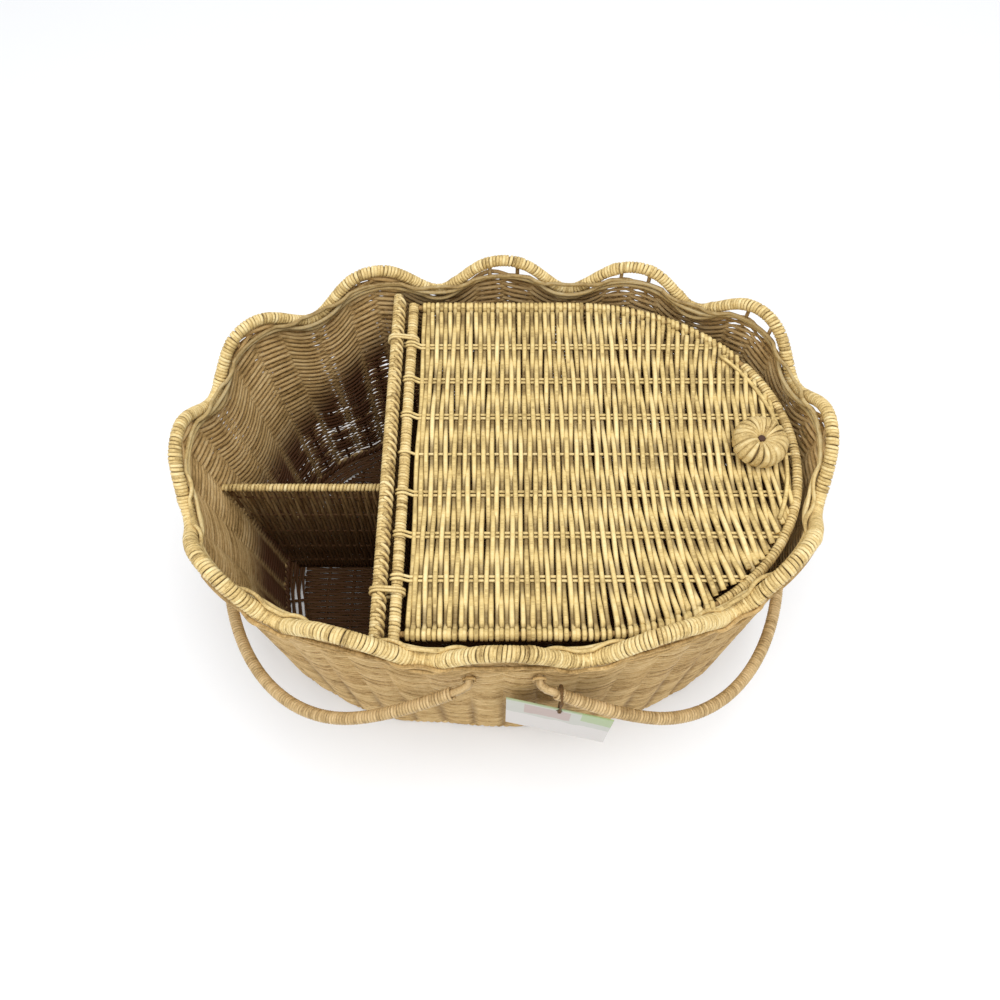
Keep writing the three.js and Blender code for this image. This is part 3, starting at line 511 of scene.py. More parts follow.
class Finish:
    """A material whose colour, roughness and bump are written as expressions."""

    def __init__(self, name):
        self.material = bpy.data.materials.new(name)
        self.material.use_nodes = True
        self.tree = self.material.node_tree
        self.shader = self.tree.nodes["Principled BSDF"]

    def node(self, kind, settings, values, output=0):
        made = self.tree.nodes.new(kind)
        for key, value in settings.items():
            if key == "stops":
                self.set_stops(made.color_ramp, value)
            else:
                setattr(made, key, value)
        for key, value in values.items():
            self.give(made.inputs[key], value)
        return Reading(self, made.outputs[output])

    def give(self, socket, value):
        if isinstance(value, Reading):
            self.tree.links.new(value.socket, socket)
        else:
            socket.default_value = value

    def set_stops(self, ramp, stops):
        while len(ramp.elements) < len(stops):
            ramp.elements.new(0.5)
        for element, (place, colour) in zip(ramp.elements, stops):
            element.position = place
            element.color = (*colour, 1)

    def attribute(self, name):
        return self.node("ShaderNodeAttribute", {"attribute_name": name}, {}, "Fac")

    def noise(self, vector, scale, detail=2.0, roughness=0.5):
        return self.node("ShaderNodeTexNoise", {}, {
            "Vector": vector, "Scale": scale, "Detail": detail, "Roughness": roughness})

    def place(self):
        return self.node("ShaderNodeTexCoord", {}, {}, "Object")

    def vector(self, x, y, z):
        return self.node("ShaderNodeCombineXYZ", {}, {0: x, 1: y, 2: z})

    def blend(self, factor, first, second):
        first = first if isinstance(first, Reading) else (*first, 1)
        second = second if isinstance(second, Reading) else (*second, 1)
        settings = {"data_type": "RGBA", "clamp_factor": True}
        return self.node("ShaderNodeMix", settings, {0: factor, 6: first, 7: second}, 2)

    def bump(self, height, distance, strength=1.0):
        values = {"Height": height, "Distance": distance, "Strength": strength}
        return self.node("ShaderNodeBump", {}, values)

    def wear(self, **values):
        """Gives the shader's sockets their values, such as base_color for Base Color."""
        for name, value in values.items():
            socket = name.replace("_", " ").title().replace("Ior", "IOR")
            self.give(self.shader.inputs[socket], value)


def cane_finish(name, light, middle, dark_fibre_and_crease_shade, brown_tone_and_painted_shade, roughness, variety=1.0, sheen=0.24):
    """Peeled cane: pale fibre streaks along it, painted shade in the creases where canes meet, and
    mixed toward brown by its shade, which is mostly painted shade.
    """
    finish = Finish(name)
    tone = finish.attribute("tone")
    crease = finish.attribute("crease")
    along = finish.attribute("along")
    # The noise is drawn out along the cane, and the tone takes each length to its own part of it
    fibre = finish.noise(finish.vector(along * 0.16, crease * 3.2, tone * 37), 1.0, 3, 0.6)
    fleck = finish.noise(finish.vector(along * 0.9, crease * 5, tone * 91), 1.0, 2, 0.7)
    patch = finish.noise(finish.place(), 38, 3)
    streaks = (fibre - 0.5) * 0.75 + (fleck - 0.5) * 0.5
    level = 0.5 + (tone * 0.13 + streaks + (patch - 0.5) * 0.35) * variety
    stops = [(0.16, dark_fibre_and_crease_shade), (0.48, middle), (0.85, light)]
    colour = finish.node("ShaderNodeValToRGB", {"stops": stops}, {0: level})
    # Painted shade in the creases where canes meet, in the darkest fibre colour
    colour = finish.blend((crease ** 2.2) * 0.74, colour, dark_fibre_and_crease_shade)
    # The shade attribute mixes in the brown: painted shade inside the basket, in gaps and under
    # canes, and a browner tone where little is mixed
    colour = finish.blend(finish.attribute("shade"), brown_tone_and_painted_shade, colour)
    finish.wear(base_color=colour, roughness=roughness + (0.5 - fibre) * 0.3)
    bump = finish.bump(fibre * 0.6 + fleck * 0.4, 0.00035, 0.8)
    finish.wear(normal=bump, specular_ior_level=sheen)


def plain_cane_finish(name, light, dark_fibre_and_crease_shade):
    """Cane on a frame's own solid, whose fibres follow Object coordinates."""
    finish = Finish(name)
    grain = finish.noise(finish.place(), 420, 4, 0.65)
    patch = finish.noise(finish.place(), 60, 2)
    colour = finish.blend(grain * 0.8 + patch * 0.4, dark_fibre_and_crease_shade, light)
    finish.wear(base_color=colour, roughness=0.6 + (0.5 - grain) * 0.2)
    finish.wear(normal=finish.bump(grain, 0.0004, 0.7))


def card_finish(name, colours):
    """Glossy card: a white lower half under muted bands, with a soft green end."""
    finish = Finish(name)
    place = finish.place()
    low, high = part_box("swing_tag")
    centre = (low + high) / 2
    way = (math.cos(TAG_YAW), -math.sin(TAG_YAW), 0)
    shift = centre.x * way[0] + centre.y * way[1]
    settings = {"operation": "DOT_PRODUCT"}
    across = finish.node("ShaderNodeVectorMath", settings, {0: place, 1: way}, "Value") - shift
    height = finish.node("ShaderNodeSeparateXYZ", {}, {0: place}, 2) - high.z
    cloud = finish.noise(place, 70, 3)
    # The blocks' edges are metres across from the card's middle and up from its top edge
    torn = height + (cloud - 0.5) * 0.012
    band = torn > -0.036
    blush = (across > -0.026) * (across < 0.009) * (torn > -0.030) * (height < -0.006)
    green = (across > 0.017) * (torn > -0.022)
    strip = height > -0.0035
    colour = finish.blend(band, colours.card, colours.card_band)
    colour = finish.blend(blush * 0.75, colour, colours.card_blush)
    colour = finish.blend(green * 0.8, colour, colours.card_green)
    colour = finish.blend(strip * 0.7, colour, colours.card_green)
    fine = finish.noise(place, 900, 2)
    colour = finish.blend((fine - 0.4) * 0.16, colour, (0.75, 0.72, 0.68))
    finish.wear(base_color=colour, roughness=0.32 + fine * 0.1)
    finish.wear(normal=finish.bump(cloud, 0.001, 0.25))


# Settings


def colour_of(name, description, value):
    return FloatVectorProperty(
        name=name, description=description, default=value, subtype="COLOR", size=3, min=0, max=1)


def length_of(name, description, value):
    return FloatProperty(
        name=name, description=description, default=value * MM, subtype="DISTANCE",
        unit="LENGTH", precision=5)


class BasketColours(bpy.types.PropertyGroup):
    """The cane's colours, as linear light."""

    wrap_light: colour_of("Wrap light", "Palest fibre of the wound cane", (0.99, 0.85, 0.49))
    wrap_middle: colour_of("Wrap middle", "Usual colour of the wound cane", (0.72, 0.53, 0.22))
    weave_light: colour_of("Weave light", "Palest fibre of the woven cane", (0.86, 0.65, 0.335))
    weave_middle: colour_of("Weave middle", "Usual colour of the woven cane", (0.59, 0.39, 0.158))
    lid_light: colour_of("Lid light", "Palest fibre of the lid's cane", (0.99, 0.83, 0.46))
    lid_middle: colour_of("Lid middle", "Usual colour of the lid's cane", (0.76, 0.575, 0.24))
    handle_light: colour_of("Handle light", "Palest fibre of the handles' cane", (0.80, 0.60, 0.33))
    handle_middle: colour_of(
        "Handle middle", "Usual colour of the handles' cane", (0.55, 0.385, 0.18))
    # The darkest fibre, and the painted shade in the creases where canes meet
    dark_fibre_and_crease_shade: colour_of("Crease", "Cane where two lengths meet", (0.155, 0.083, 0.018))
    # Brown that the shade attribute mixes in: painted shade low inside the basket, in gaps and
    # under canes, and a browner tone where little of it is used
    brown_tone_and_painted_shade: colour_of("Brown tone and painted shade", "The brown inside, low in the basket", (0.072, 0.024, 0.008))
    twine: colour_of("Twine", "The tag's twine", (0.22, 0.12, 0.05))
    card: colour_of("Card", "The tag's lower half", (0.63, 0.595, 0.565))
    card_band: colour_of("Card band", "The tag's upper half", (0.50, 0.50, 0.44))
    card_blush: colour_of("Card blush", "A muted block on the tag's band", (0.42, 0.27, 0.24))
    card_green: colour_of("Card green", "The green end of the tag's band", (0.30, 0.42, 0.15))


class BasketSizes(bpy.types.PropertyGroup):
    """The canes' sizes."""

    row_pitch: length_of("Row pitch", "Distance between two rows of the wall", 2.8)
    row_radius: length_of("Row radius", "Radius of a wall row's cane", 1.95)
    row_swing: length_of("Row swing", "How far a row swings in and out round the uprights", 2.3)
    rim_pitch: length_of("Rim pitch", "Distance between two turns on the rim", 2.7)
    rod_pitch: length_of("Rod pitch", "Distance between two turns on the rods", 2.6)
    handle_pitch: length_of("Handle pitch", "Distance between two turns on a handle", 2.4)
    lid_pitch: length_of("Lid pitch", "Distance between two weavers of the lid", 3.66)
    lid_radius: length_of("Lid cane radius", "Radius of a weaver of the lid", 2.02)


class StageSettings(bpy.types.PropertyGroup):
    """The camera, the lights and the floor."""

    camera_height: length_of("Camera height", "Height of the camera", 785.3)
    camera_distance: length_of("Camera distance", "How far in front the camera stands", 333.1)
    camera_side: length_of("Camera side", "How far to the right the camera stands", -3.1)
    camera_tilt: FloatProperty(
        name="Camera tilt", description="Tilt of the camera from straight down",
        default=math.radians(27.55), subtype="ANGLE", unit="ROTATION")
    focal_length: FloatProperty(
        name="Lens", description="The camera's focal length in millimetres", default=30.0, min=10)
    sky: FloatProperty(name="Studio", description="Light from all round", default=0.67, min=0)
    lamp: FloatProperty(
        name="Lamp", description="Power of the large soft lamp in watts", default=42.0, min=0,
        subtype="POWER")


def sizes():
    return bpy.context.scene.basket_sizes


# Makers


class BASKET_OT_finishes(bpy.types.Operator):
    """Mix the finishes of the cane, the twine and the card"""

    bl_idname = "basket.finishes"
    bl_label = "Finishes"

    def execute(self, context):
        tint = context.scene.basket_colours
        dark_fibre_and_crease_shade, brown_tone_and_painted_shade = tint.dark_fibre_and_crease_shade, tint.brown_tone_and_painted_shade
        cane_finish("wound_cane", tint.wrap_light, tint.wrap_middle, dark_fibre_and_crease_shade, brown_tone_and_painted_shade, 0.46)
        cane_finish("woven_cane", tint.weave_light, tint.weave_middle, dark_fibre_and_crease_shade, brown_tone_and_painted_shade, 0.6, sheen=0.2)
        cane_finish("lid_cane", tint.lid_light, tint.lid_middle, dark_fibre_and_crease_shade, brown_tone_and_painted_shade, 0.5, variety=0.75)
        cane_finish("handle_cane", tint.handle_light, tint.handle_middle, dark_fibre_and_crease_shade, brown_tone_and_painted_shade, 0.44)
        cane_finish("twisted_twine", tint.twine, [0.6 * c for c in tint.twine], dark_fibre_and_crease_shade, brown_tone_and_painted_shade, 0.8)
        # The knob's peg is dark brown: painted shade in the knob's hole
        plain_cane_finish("painted_hole_shade", brown_tone_and_painted_shade, [0.4 * c for c in brown_tone_and_painted_shade])
        card_finish("tag_card", tint)
        dress("swing_tag", "tag_card")
        dress("knob_peg", "painted_hole_shade")
        return {"FINISHED"}


class BASKET_OT_floor(bpy.types.Operator):
    """Weave the floor over its ribs and twist the rope round its edge"""

    bl_idname = "basket.floor"
    bl_label = "Floor"

    def execute(self, context):
        # The floor's top side keeps little of its shade: painted shade inside the basket, while its
        # underside stays clean cane
        floor = Canes("floor_canes", 11, face_keeps=0.04)
        self.rows(floor)
        self.edge_rows(floor)
        floor.finish("woven_cane", "basket", "floor_weave", "base_panel")
        self.rope()
        return {"FINISHED"}

    def rows(self, floor):
        """Rows along the floor, over and under ribs that run from front to back."""
        half_length, half_depth = FLOOR_HALF_LENGTH - FLOOR_EDGE, FLOOR_HALF_DEPTH - FLOOR_EDGE
        squareness = BASE_OUTLINE[2]
        for i, y in enumerate(np.arange(-half_depth + 2, half_depth, FLOOR_PITCH)):
            reach = half_length * quarter(abs(y) / half_depth, squareness)
            count = max(int(reach * 2 / FLOOR_RIB_SPACING * 5), 4)
            x = np.linspace(-reach, reach, count)
            side = np.cos(np.pi * x / FLOOR_RIB_SPACING) * (-1) ** i
            height = FLOOR_MIDDLE + FLOOR_SWING * side
            drift = floor.draw.uniform(-0.15, 0.15)
            floor.lay(columns(x, y + drift, height), FLOOR_RADIUS, UP)
        for x in np.arange(-7, 8) * FLOOR_RIB_SPACING:
            reach = half_depth * quarter(abs(x) / half_length, squareness)
            rib = straight((x, -reach, FLOOR_MIDDLE), (x, reach, FLOOR_MIDDLE), 6)
            floor.lay(rib, radius=1.5, face=UP)

    def edge_rows(self, floor):
        """Rows that follow the floor's edge, a little open at the front left, over short spokes."""
        share = np.arange(STAKES * 5) / (STAKES * 5)
        open_part = smooth(share, 0.505, 0.53) * (1 - smooth(share, 0.575, 0.60))
        for i, inset in enumerate(np.arange(9.5, FLOOR_EDGE + 2, FLOOR_PITCH)):
            side = ripple(STAKES / 2 * share) * (-1) ** i
            spread = 0.8 * (-1) ** i * open_part
            points = base_point(share, inset + spread, FLOOR_MIDDLE + FLOOR_SWING * side)
            floor.lay(points, FLOOR_RADIUS - 0.55 * open_part, UP, closed=True)
        for i in range(STAKES):
            at = np.full(2, (i + 0.5) / STAKES)
            spoke = base_point(at, np.array([8.0, FLOOR_EDGE + 8.0]), FLOOR_MIDDLE)
            floor.lay(spoke, radius=1.4, face=UP)

    def rope(self):
        """Three canes twisted round each other along the foot, with painted shade on their inner
        side.
        """
        line = base_point(np.linspace(0, 1, 721), 4.5, 4.6)
        along = unit(np.roll(line[:-1], -1, axis=0) - np.roll(line[:-1], 1, axis=0))
        along = np.concatenate([along, along[:1]])
        out = unit(np.cross(along, UP))
        up = np.broadcast_to(UP, out.shape)

        def inner_side_shade(outward):
            return 0.03 + 0.97 * smooth(outward, -0.1, 0.5)

        rope = Canes("foot_rope", 12)
        for phase in (0, 1 / 3, 2 / 3):
            rope.wind(line, out, up, radius=4.4, pitch=19.0, width=4.2, thickness=4.2,
                      phase=phase, jitter=0.05, shade=inner_side_shade)
        rope.finish("woven_cane", "basket", "weave", "base_border")


class BASKET_OT_wall(bpy.types.Operator):
    """Weave the wall's rows in and out of its uprights"""

    bl_idname = "basket.wall"
    bl_label = "Wall"

    def execute(self, context):
        self.rows()
        self.uprights()
        return {"FINISHED"}

    def rows(self):
        size = sizes()
        low_rows, high_rows = Canes("wall_canes_low", 21), Canes("wall_canes_high", 23)
        draw = low_rows.draw
        count = 240
        share = np.arange(count) / count
        top = wall_point(share, 1.0, WALL_MIDDLE)[:, 2]
        woven = self.woven_top(share, top) - WALL_FOOT
        levels = np.linspace(0.006, 1, int(woven.mean() * MM / size.row_pitch))
        gaps = self.gaps(draw)
        bay = (share * STAKES).astype(int)
        slits = draw.uniform(0, 1, (len(levels) // 2 + 1, STAKES)) < OPEN_SLITS
        fuller = (woven / woven.mean()) ** 2
        swing_to = size.row_swing / MM
        for i, level in enumerate(levels):
            wander = 0.3 * ripple(3 * share + draw.uniform()) * draw.uniform(0, 1)
            wander += 0.25 * ripple(17 * share + draw.uniform())
            open_now = (gaps * slits[i // 2])[bay]
            slack = open_now * self.loose(share, level) + self.rim_slack(share, level)
            rise = (level * woven + wander * min(1, 8 * level)) / (top - WALL_FOOT)
            swing = ripple(STAKES / 2 * share) * (-1) ** i
            swing = np.sign(swing) * np.abs(swing) ** 0.8 * swing_to * draw.uniform(0.92, 1.06)
            points = wall_point(share, rise, WALL_MIDDLE - swing)
            # Painted shadow on the inside; the parts that swing out are held at 0.9, a slight
            # painted shade against the lit inside
            inner = self.inner_shade(share, points[:, 2])
            shade = inner + (0.9 - inner) * smooth(swing / swing_to, -0.35, 0.35)
            radius = size.row_radius / MM * draw.uniform(0.95, 1.05) * fuller * (1 - 0.6 * slack)
            canes = low_rows if level < 0.5 else high_rows
            canes.lay(points, radius, wall_outward(share), flat=0.72, shade=shade, closed=True)
        low_rows.finish("woven_cane", "basket", "weave", "wall_weave")
        high_rows.finish("woven_cane", "basket", "weave", "wall_weave")

    def uprights(self):
        uprights = Canes("wall_uprights", 22)
        count = 14
        for i in range(STAKES):
            at = np.full(count, (i + 0.5) / STAKES)
            points = wall_point(at, np.linspace(-0.01, 1.015, count), WALL_MIDDLE)
            # The uprights take the same painted shadow low on the inside
            shade = self.inner_shade(at, points[:, 2])
            uprights.lay(points, radius=1.7, face=wall_outward(at), shade=shade)
        uprights.finish("woven_cane", "basket", "cane_core", "wall_stakes")

    def woven_top(self, share, top):
        """Where the rows end: close under the rim, with more room under its back right peaks."""
        valley = top.min()
        room = smooth(share, -0.02, 0.04) * (1 - smooth(share, 0.24, 0.30))
        room = room + smooth(share, 0.98, 1.0)
        return valley + (0.97 - 0.25 * room) * (top - valley) - 0.5

    def gaps(self, draw):
        """How far each bay between two uprights is left open."""
        return draw.uniform(0.1, 1, STAKES) ** 0.4

    def loose(self, share, level):
        """The open bays, low in the back left."""
        back = smooth(share, 0.31, 0.33) * (1 - smooth(share, 0.42, 0.45))
        top = 0.66 - 3.6 * (share - 0.33)
        return back * (1 - smooth(level, top - 0.1, top))

    def rim_slack(self, share, level):
        """Thinner rows under the rim at the back right, which let light through."""
        right = smooth(share, 0.0, 0.05) * (1 - smooth(share, 0.22, 0.27))
        under_peaks = ripple(SCALLOPS * share + 0.191) > 0.1
        return 0.6 * right * smooth(level, 0.92, 0.96) * under_peaks

    def inner_shade(self, share, height):
        """Painted shadow: the inside is darkened to brown below a line that climbs toward the main
        divider, darker at the back right and toward the floor.
        """
        line = 95 + 75 * smooth(share, 0.46, 0.33) + 10 * ripple(7 * share)
        lit = 1 - 0.35 * smooth(ripple(share), 0.1, 0.8) * smooth(-share, -0.34, -0.30)
        return 0.02 + 0.98 * lit * smooth(height - line, -30, 30) * smooth(height, 40, 190) ** 0.3


class BASKET_OT_rim(bpy.types.Operator):
    """Wind the scalloped rim and run the long canes under it"""

    bl_idname = "basket.rim"
    bl_label = "Rim"

    def execute(self, context):
        size = sizes()
        share = np.linspace(0, 1, 1441)
        centre, out, down = rim_frame(share)
        rod = Canes("rim_rod", 31)
        # The rod shows only between the winding's turns, so its low shade is painted shade
        rod.lay(centre[:-1:5], radius=3.5, face=out[:-1:5], shade=0.35, closed=True)
        rod.finish("woven_cane", "basket", "cane_core", "rim_core")

        winding = Canes("rim_winding", 32)
        knots = winding.draw.uniform(0.0, 1.0, STAKES) ** 2

        def swell(place):
            """Thicker over some of the uprights' ends, and slimmer toward the back."""
            near = np.cos(2 * np.pi * (place * STAKES - 0.5)) * 0.5 + 0.5
            which = np.floor(place * STAKES).astype(int) % STAKES
            slim = smooth(ripple(place), -0.75, 0.1)
            return 0.75 * knots[which] * near ** 6 - 1.1 * slim

        winding.wind(centre, out, -down, RIM_RADIUS - 0.5, size.rim_pitch / MM, width=3.0,
                     thickness=1.9, jitter=0.24, swell=swell, spread=0.9)
        winding.finish("wound_cane", "basket", "cane_wrap", "rim_wrap")
        self.long_canes()
        return {"FINISHED"}

    def long_canes(self):
        """Canes that run straighter than the rim, against its inner side and outside under it."""
        inside, outside = Canes("rim_strands", 33), Canes("rim_wale", 34)
        count = 480
        share = np.arange(count) / count
        centre, out = rim_frame(share)[:2]
        wave = scallop_wave(share)
        level = centre[:, 2] - SCALLOP_RISE * wave
        # 1 away from the back and 0 at it: painted shade on the inner strands toward the back
        back_shade = 1 - smooth(ripple(share), -0.3, 0.5)
        front = (share > 0.58) & (share < 0.93)
        # How much of the scallops each one follows, how far it runs below the rim's middle, its
        # side of the rim and the phase of its waves. The radii keep it clear of the winding.
        strands = (
            (0.30, 3.0, -1, 0.0), (0.46, 6.5, -1, 0.3), (0.62, 10.0, -1, 0.65),
            (0.42, 9.0, 1, 0.5), (0.10, 11.0, 1, 0.2),
        )
        touching, nearest = 8.0, 4.6
        for follow, drop, side, phase in strands:
            sway = 1.3 * ripple(SCALLOPS * share / 2 + phase) + 0.6 * ripple(7 * share + phase)
            height = level + follow * SCALLOP_RISE * wave - drop + sway
            above = height - centre[:, 2]
            beside = np.sqrt((touching ** 2 - above ** 2).clip(nearest ** 2))
            beside += 0.35 * ripple(5 * share + phase)
            points = centre + out * (side * beside)[:, None]
            points[:, 2] = height
            if side < 0:
                shade = 0.55 + 0.45 * back_shade
                inside.lay(points, radius=1.8, face=-out, flat=0.85, shade=shade, closed=True)
            else:
                outside.lay(points[front], radius=1.8, face=out[front], flat=0.85)
        inside.finish("wound_cane", "basket", "weave")
        outside.finish("woven_cane", "basket", "weave")


class BASKET_OT_dividers(bpy.types.Operator):
    """Weave the two dividers and wind the rods on top of them"""

    bl_idname = "basket.dividers"
    bl_label = "Dividers"

    def execute(self, context):
        self.main_divider()
        self.short_divider()
        return {"FINISHED"}

    def panel(self, canes, places, floor_at, top, to_space, face, ribs, swing):
        """Weaves upright canes round level ribs; to_space takes along, off and height."""
        for i, place in enumerate(places):
            height = np.linspace(floor_at(place), top, 34)
            off = swing * np.cos(np.pi * (height - ribs[0]) / (ribs[1] - ribs[0])) * (-1) ** i
            # Painted shade, darker toward the floor inside the basket, times a random tone for each
            # cane
            shade = 0.08 + 0.62 * smooth(height, 40, 215) * canes.draw.uniform(0.35, 1)
            along = place + canes.draw.uniform(-0.25, 0.25)
            canes.lay(to_space(along, off, height), radius=1.65, face=face, flat=0.9, shade=shade)
        for height in ribs:
            inside = [place for place in places if floor_at(place) < height - 1]
            if len(inside) >= 2:
                along = np.linspace(inside[0] - PANEL_PITCH / 2, inside[-1] + PANEL_PITCH / 2, 12)
                # The ribs, which lie behind the uprights, are dark with painted shade
                canes.lay(to_space(along, 0, height), radius=1.3, face=face, shade=0.1)

    def main_divider(self):
        x, height, radius = MAIN_ROD
        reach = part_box("main_divider_weave")[1].y / MM - 1.5
        top = height - radius + 0.6

        def floor_at(y):
            past = max(abs(y) - MAIN_FOOT_END, 0) / (reach - MAIN_FOOT_END)
            return PANEL_FOOT + past * (top - 8)

        def to_space(along, off, z):
            return columns(x + off, along, z)

        canes = Canes("main_divider_canes", 41)
        places = np.arange(-reach + 1, reach, PANEL_PITCH)
        ribs = np.arange(22, 215, 31.0)
        self.panel(canes, places, floor_at, top, to_space, (1, 0, 0), ribs, swing=1.75)
        canes.finish("woven_cane", "basket", "weave", "main_divider_weave")

        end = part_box("main_divider_wrap")[1].y / MM
        path = straight((x, -end, height), (x, end, height))
        core_rod("main_rod", 42, path, 3.6, "basket", "main_divider_rod")
        winding = Canes("main_rod_winding", 43)
        out, up = square_frame(path, UP)

        # Painted shade on the winding's outer side, under the loops
        def shade_under_loops(outward):
            return 1 - 0.8 * smooth(outward, 0.25, 0.75)

        winding.wind(path, out, up, radius, sizes().rod_pitch / MM, width=2.9, thickness=1.9,
                     jitter=0.2, shade=shade_under_loops)
        self.divider_loops(winding, end)
        winding.finish("wound_cane", "basket", "cane_wrap", "main_divider_wrap")

    def divider_loops(self, winding, end):
        """Slanting loops over the main rod that run down into the weave beside the lid."""
        x, height, radius = MAIN_ROD
        radius = radius + 0.2
        turn = np.radians([90, 66, 42, 18, -6, -30, -54])
        slant = np.linspace(-3.2, 3.6, len(turn))
        face = np.concatenate([columns(np.cos(turn), 0, np.sin(turn)), [[1, 0, 0], [1, 0, 0]]])
        # Painted shade: the loops darken as they turn down, and their tails into the weave are dark
        shade = np.concatenate([1 - 0.85 * smooth(-turn, -0.2, 1.0), [0.1, 0.1]])
        for y in np.arange(-end + 6, end - 3, 6.3):
            y = y + winding.draw.uniform(-0.5, 0.5)
            loop = columns(x + radius * np.cos(turn), y - slant, height + radius * np.sin(turn))
            tail = columns([x + 3.0, x + 2.4], [y - 4.4, y - 5.0], [height - 8.5, height - 15])
            loop = np.concatenate([loop, tail])
            winding.lay(loop, radius=1.45, face=face, flat=0.85, shade=shade)

    def short_divider(self):
        y, height, radius = SHORT_ROD
        low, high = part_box("short_divider_weave")
        start, end = low.x / MM + 1.5, high.x / MM
        top = height - radius + 0.6

        def floor_at(x):
            past = max(SHORT_FOOT_START - x, 0) / (SHORT_FOOT_START - start)
            return PANEL_FOOT + past * (top - 8)

        def to_space(along, off, z):
            return columns(along, y + off, z)

        canes = Canes("short_divider_canes", 44)
        places = np.arange(start + 2, end - 1, PANEL_PITCH)
        ribs = np.arange(24, 165, 33.0)
        self.panel(canes, places, floor_at, top, to_space, (0, 1, 0), ribs, swing=1.0)
        canes.finish("woven_cane", "basket", "weave", "short_divider_weave")

        low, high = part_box("short_divider_wrap")
        path = straight((low.x / MM, y, height), (high.x / MM, y, height))
        core_rod("short_rod", 45, path, 1.9, "basket", "short_divider_rod")
        winding = Canes("short_rod_winding", 46)
        out, up = square_frame(path, UP)
        winding.wind(path, out, up, radius + 0.5, pitch=3.1, width=3.1, thickness=2.0, jitter=0.12)
        winding.finish("wound_cane", "basket", "cane_wrap", "short_divider_wrap")


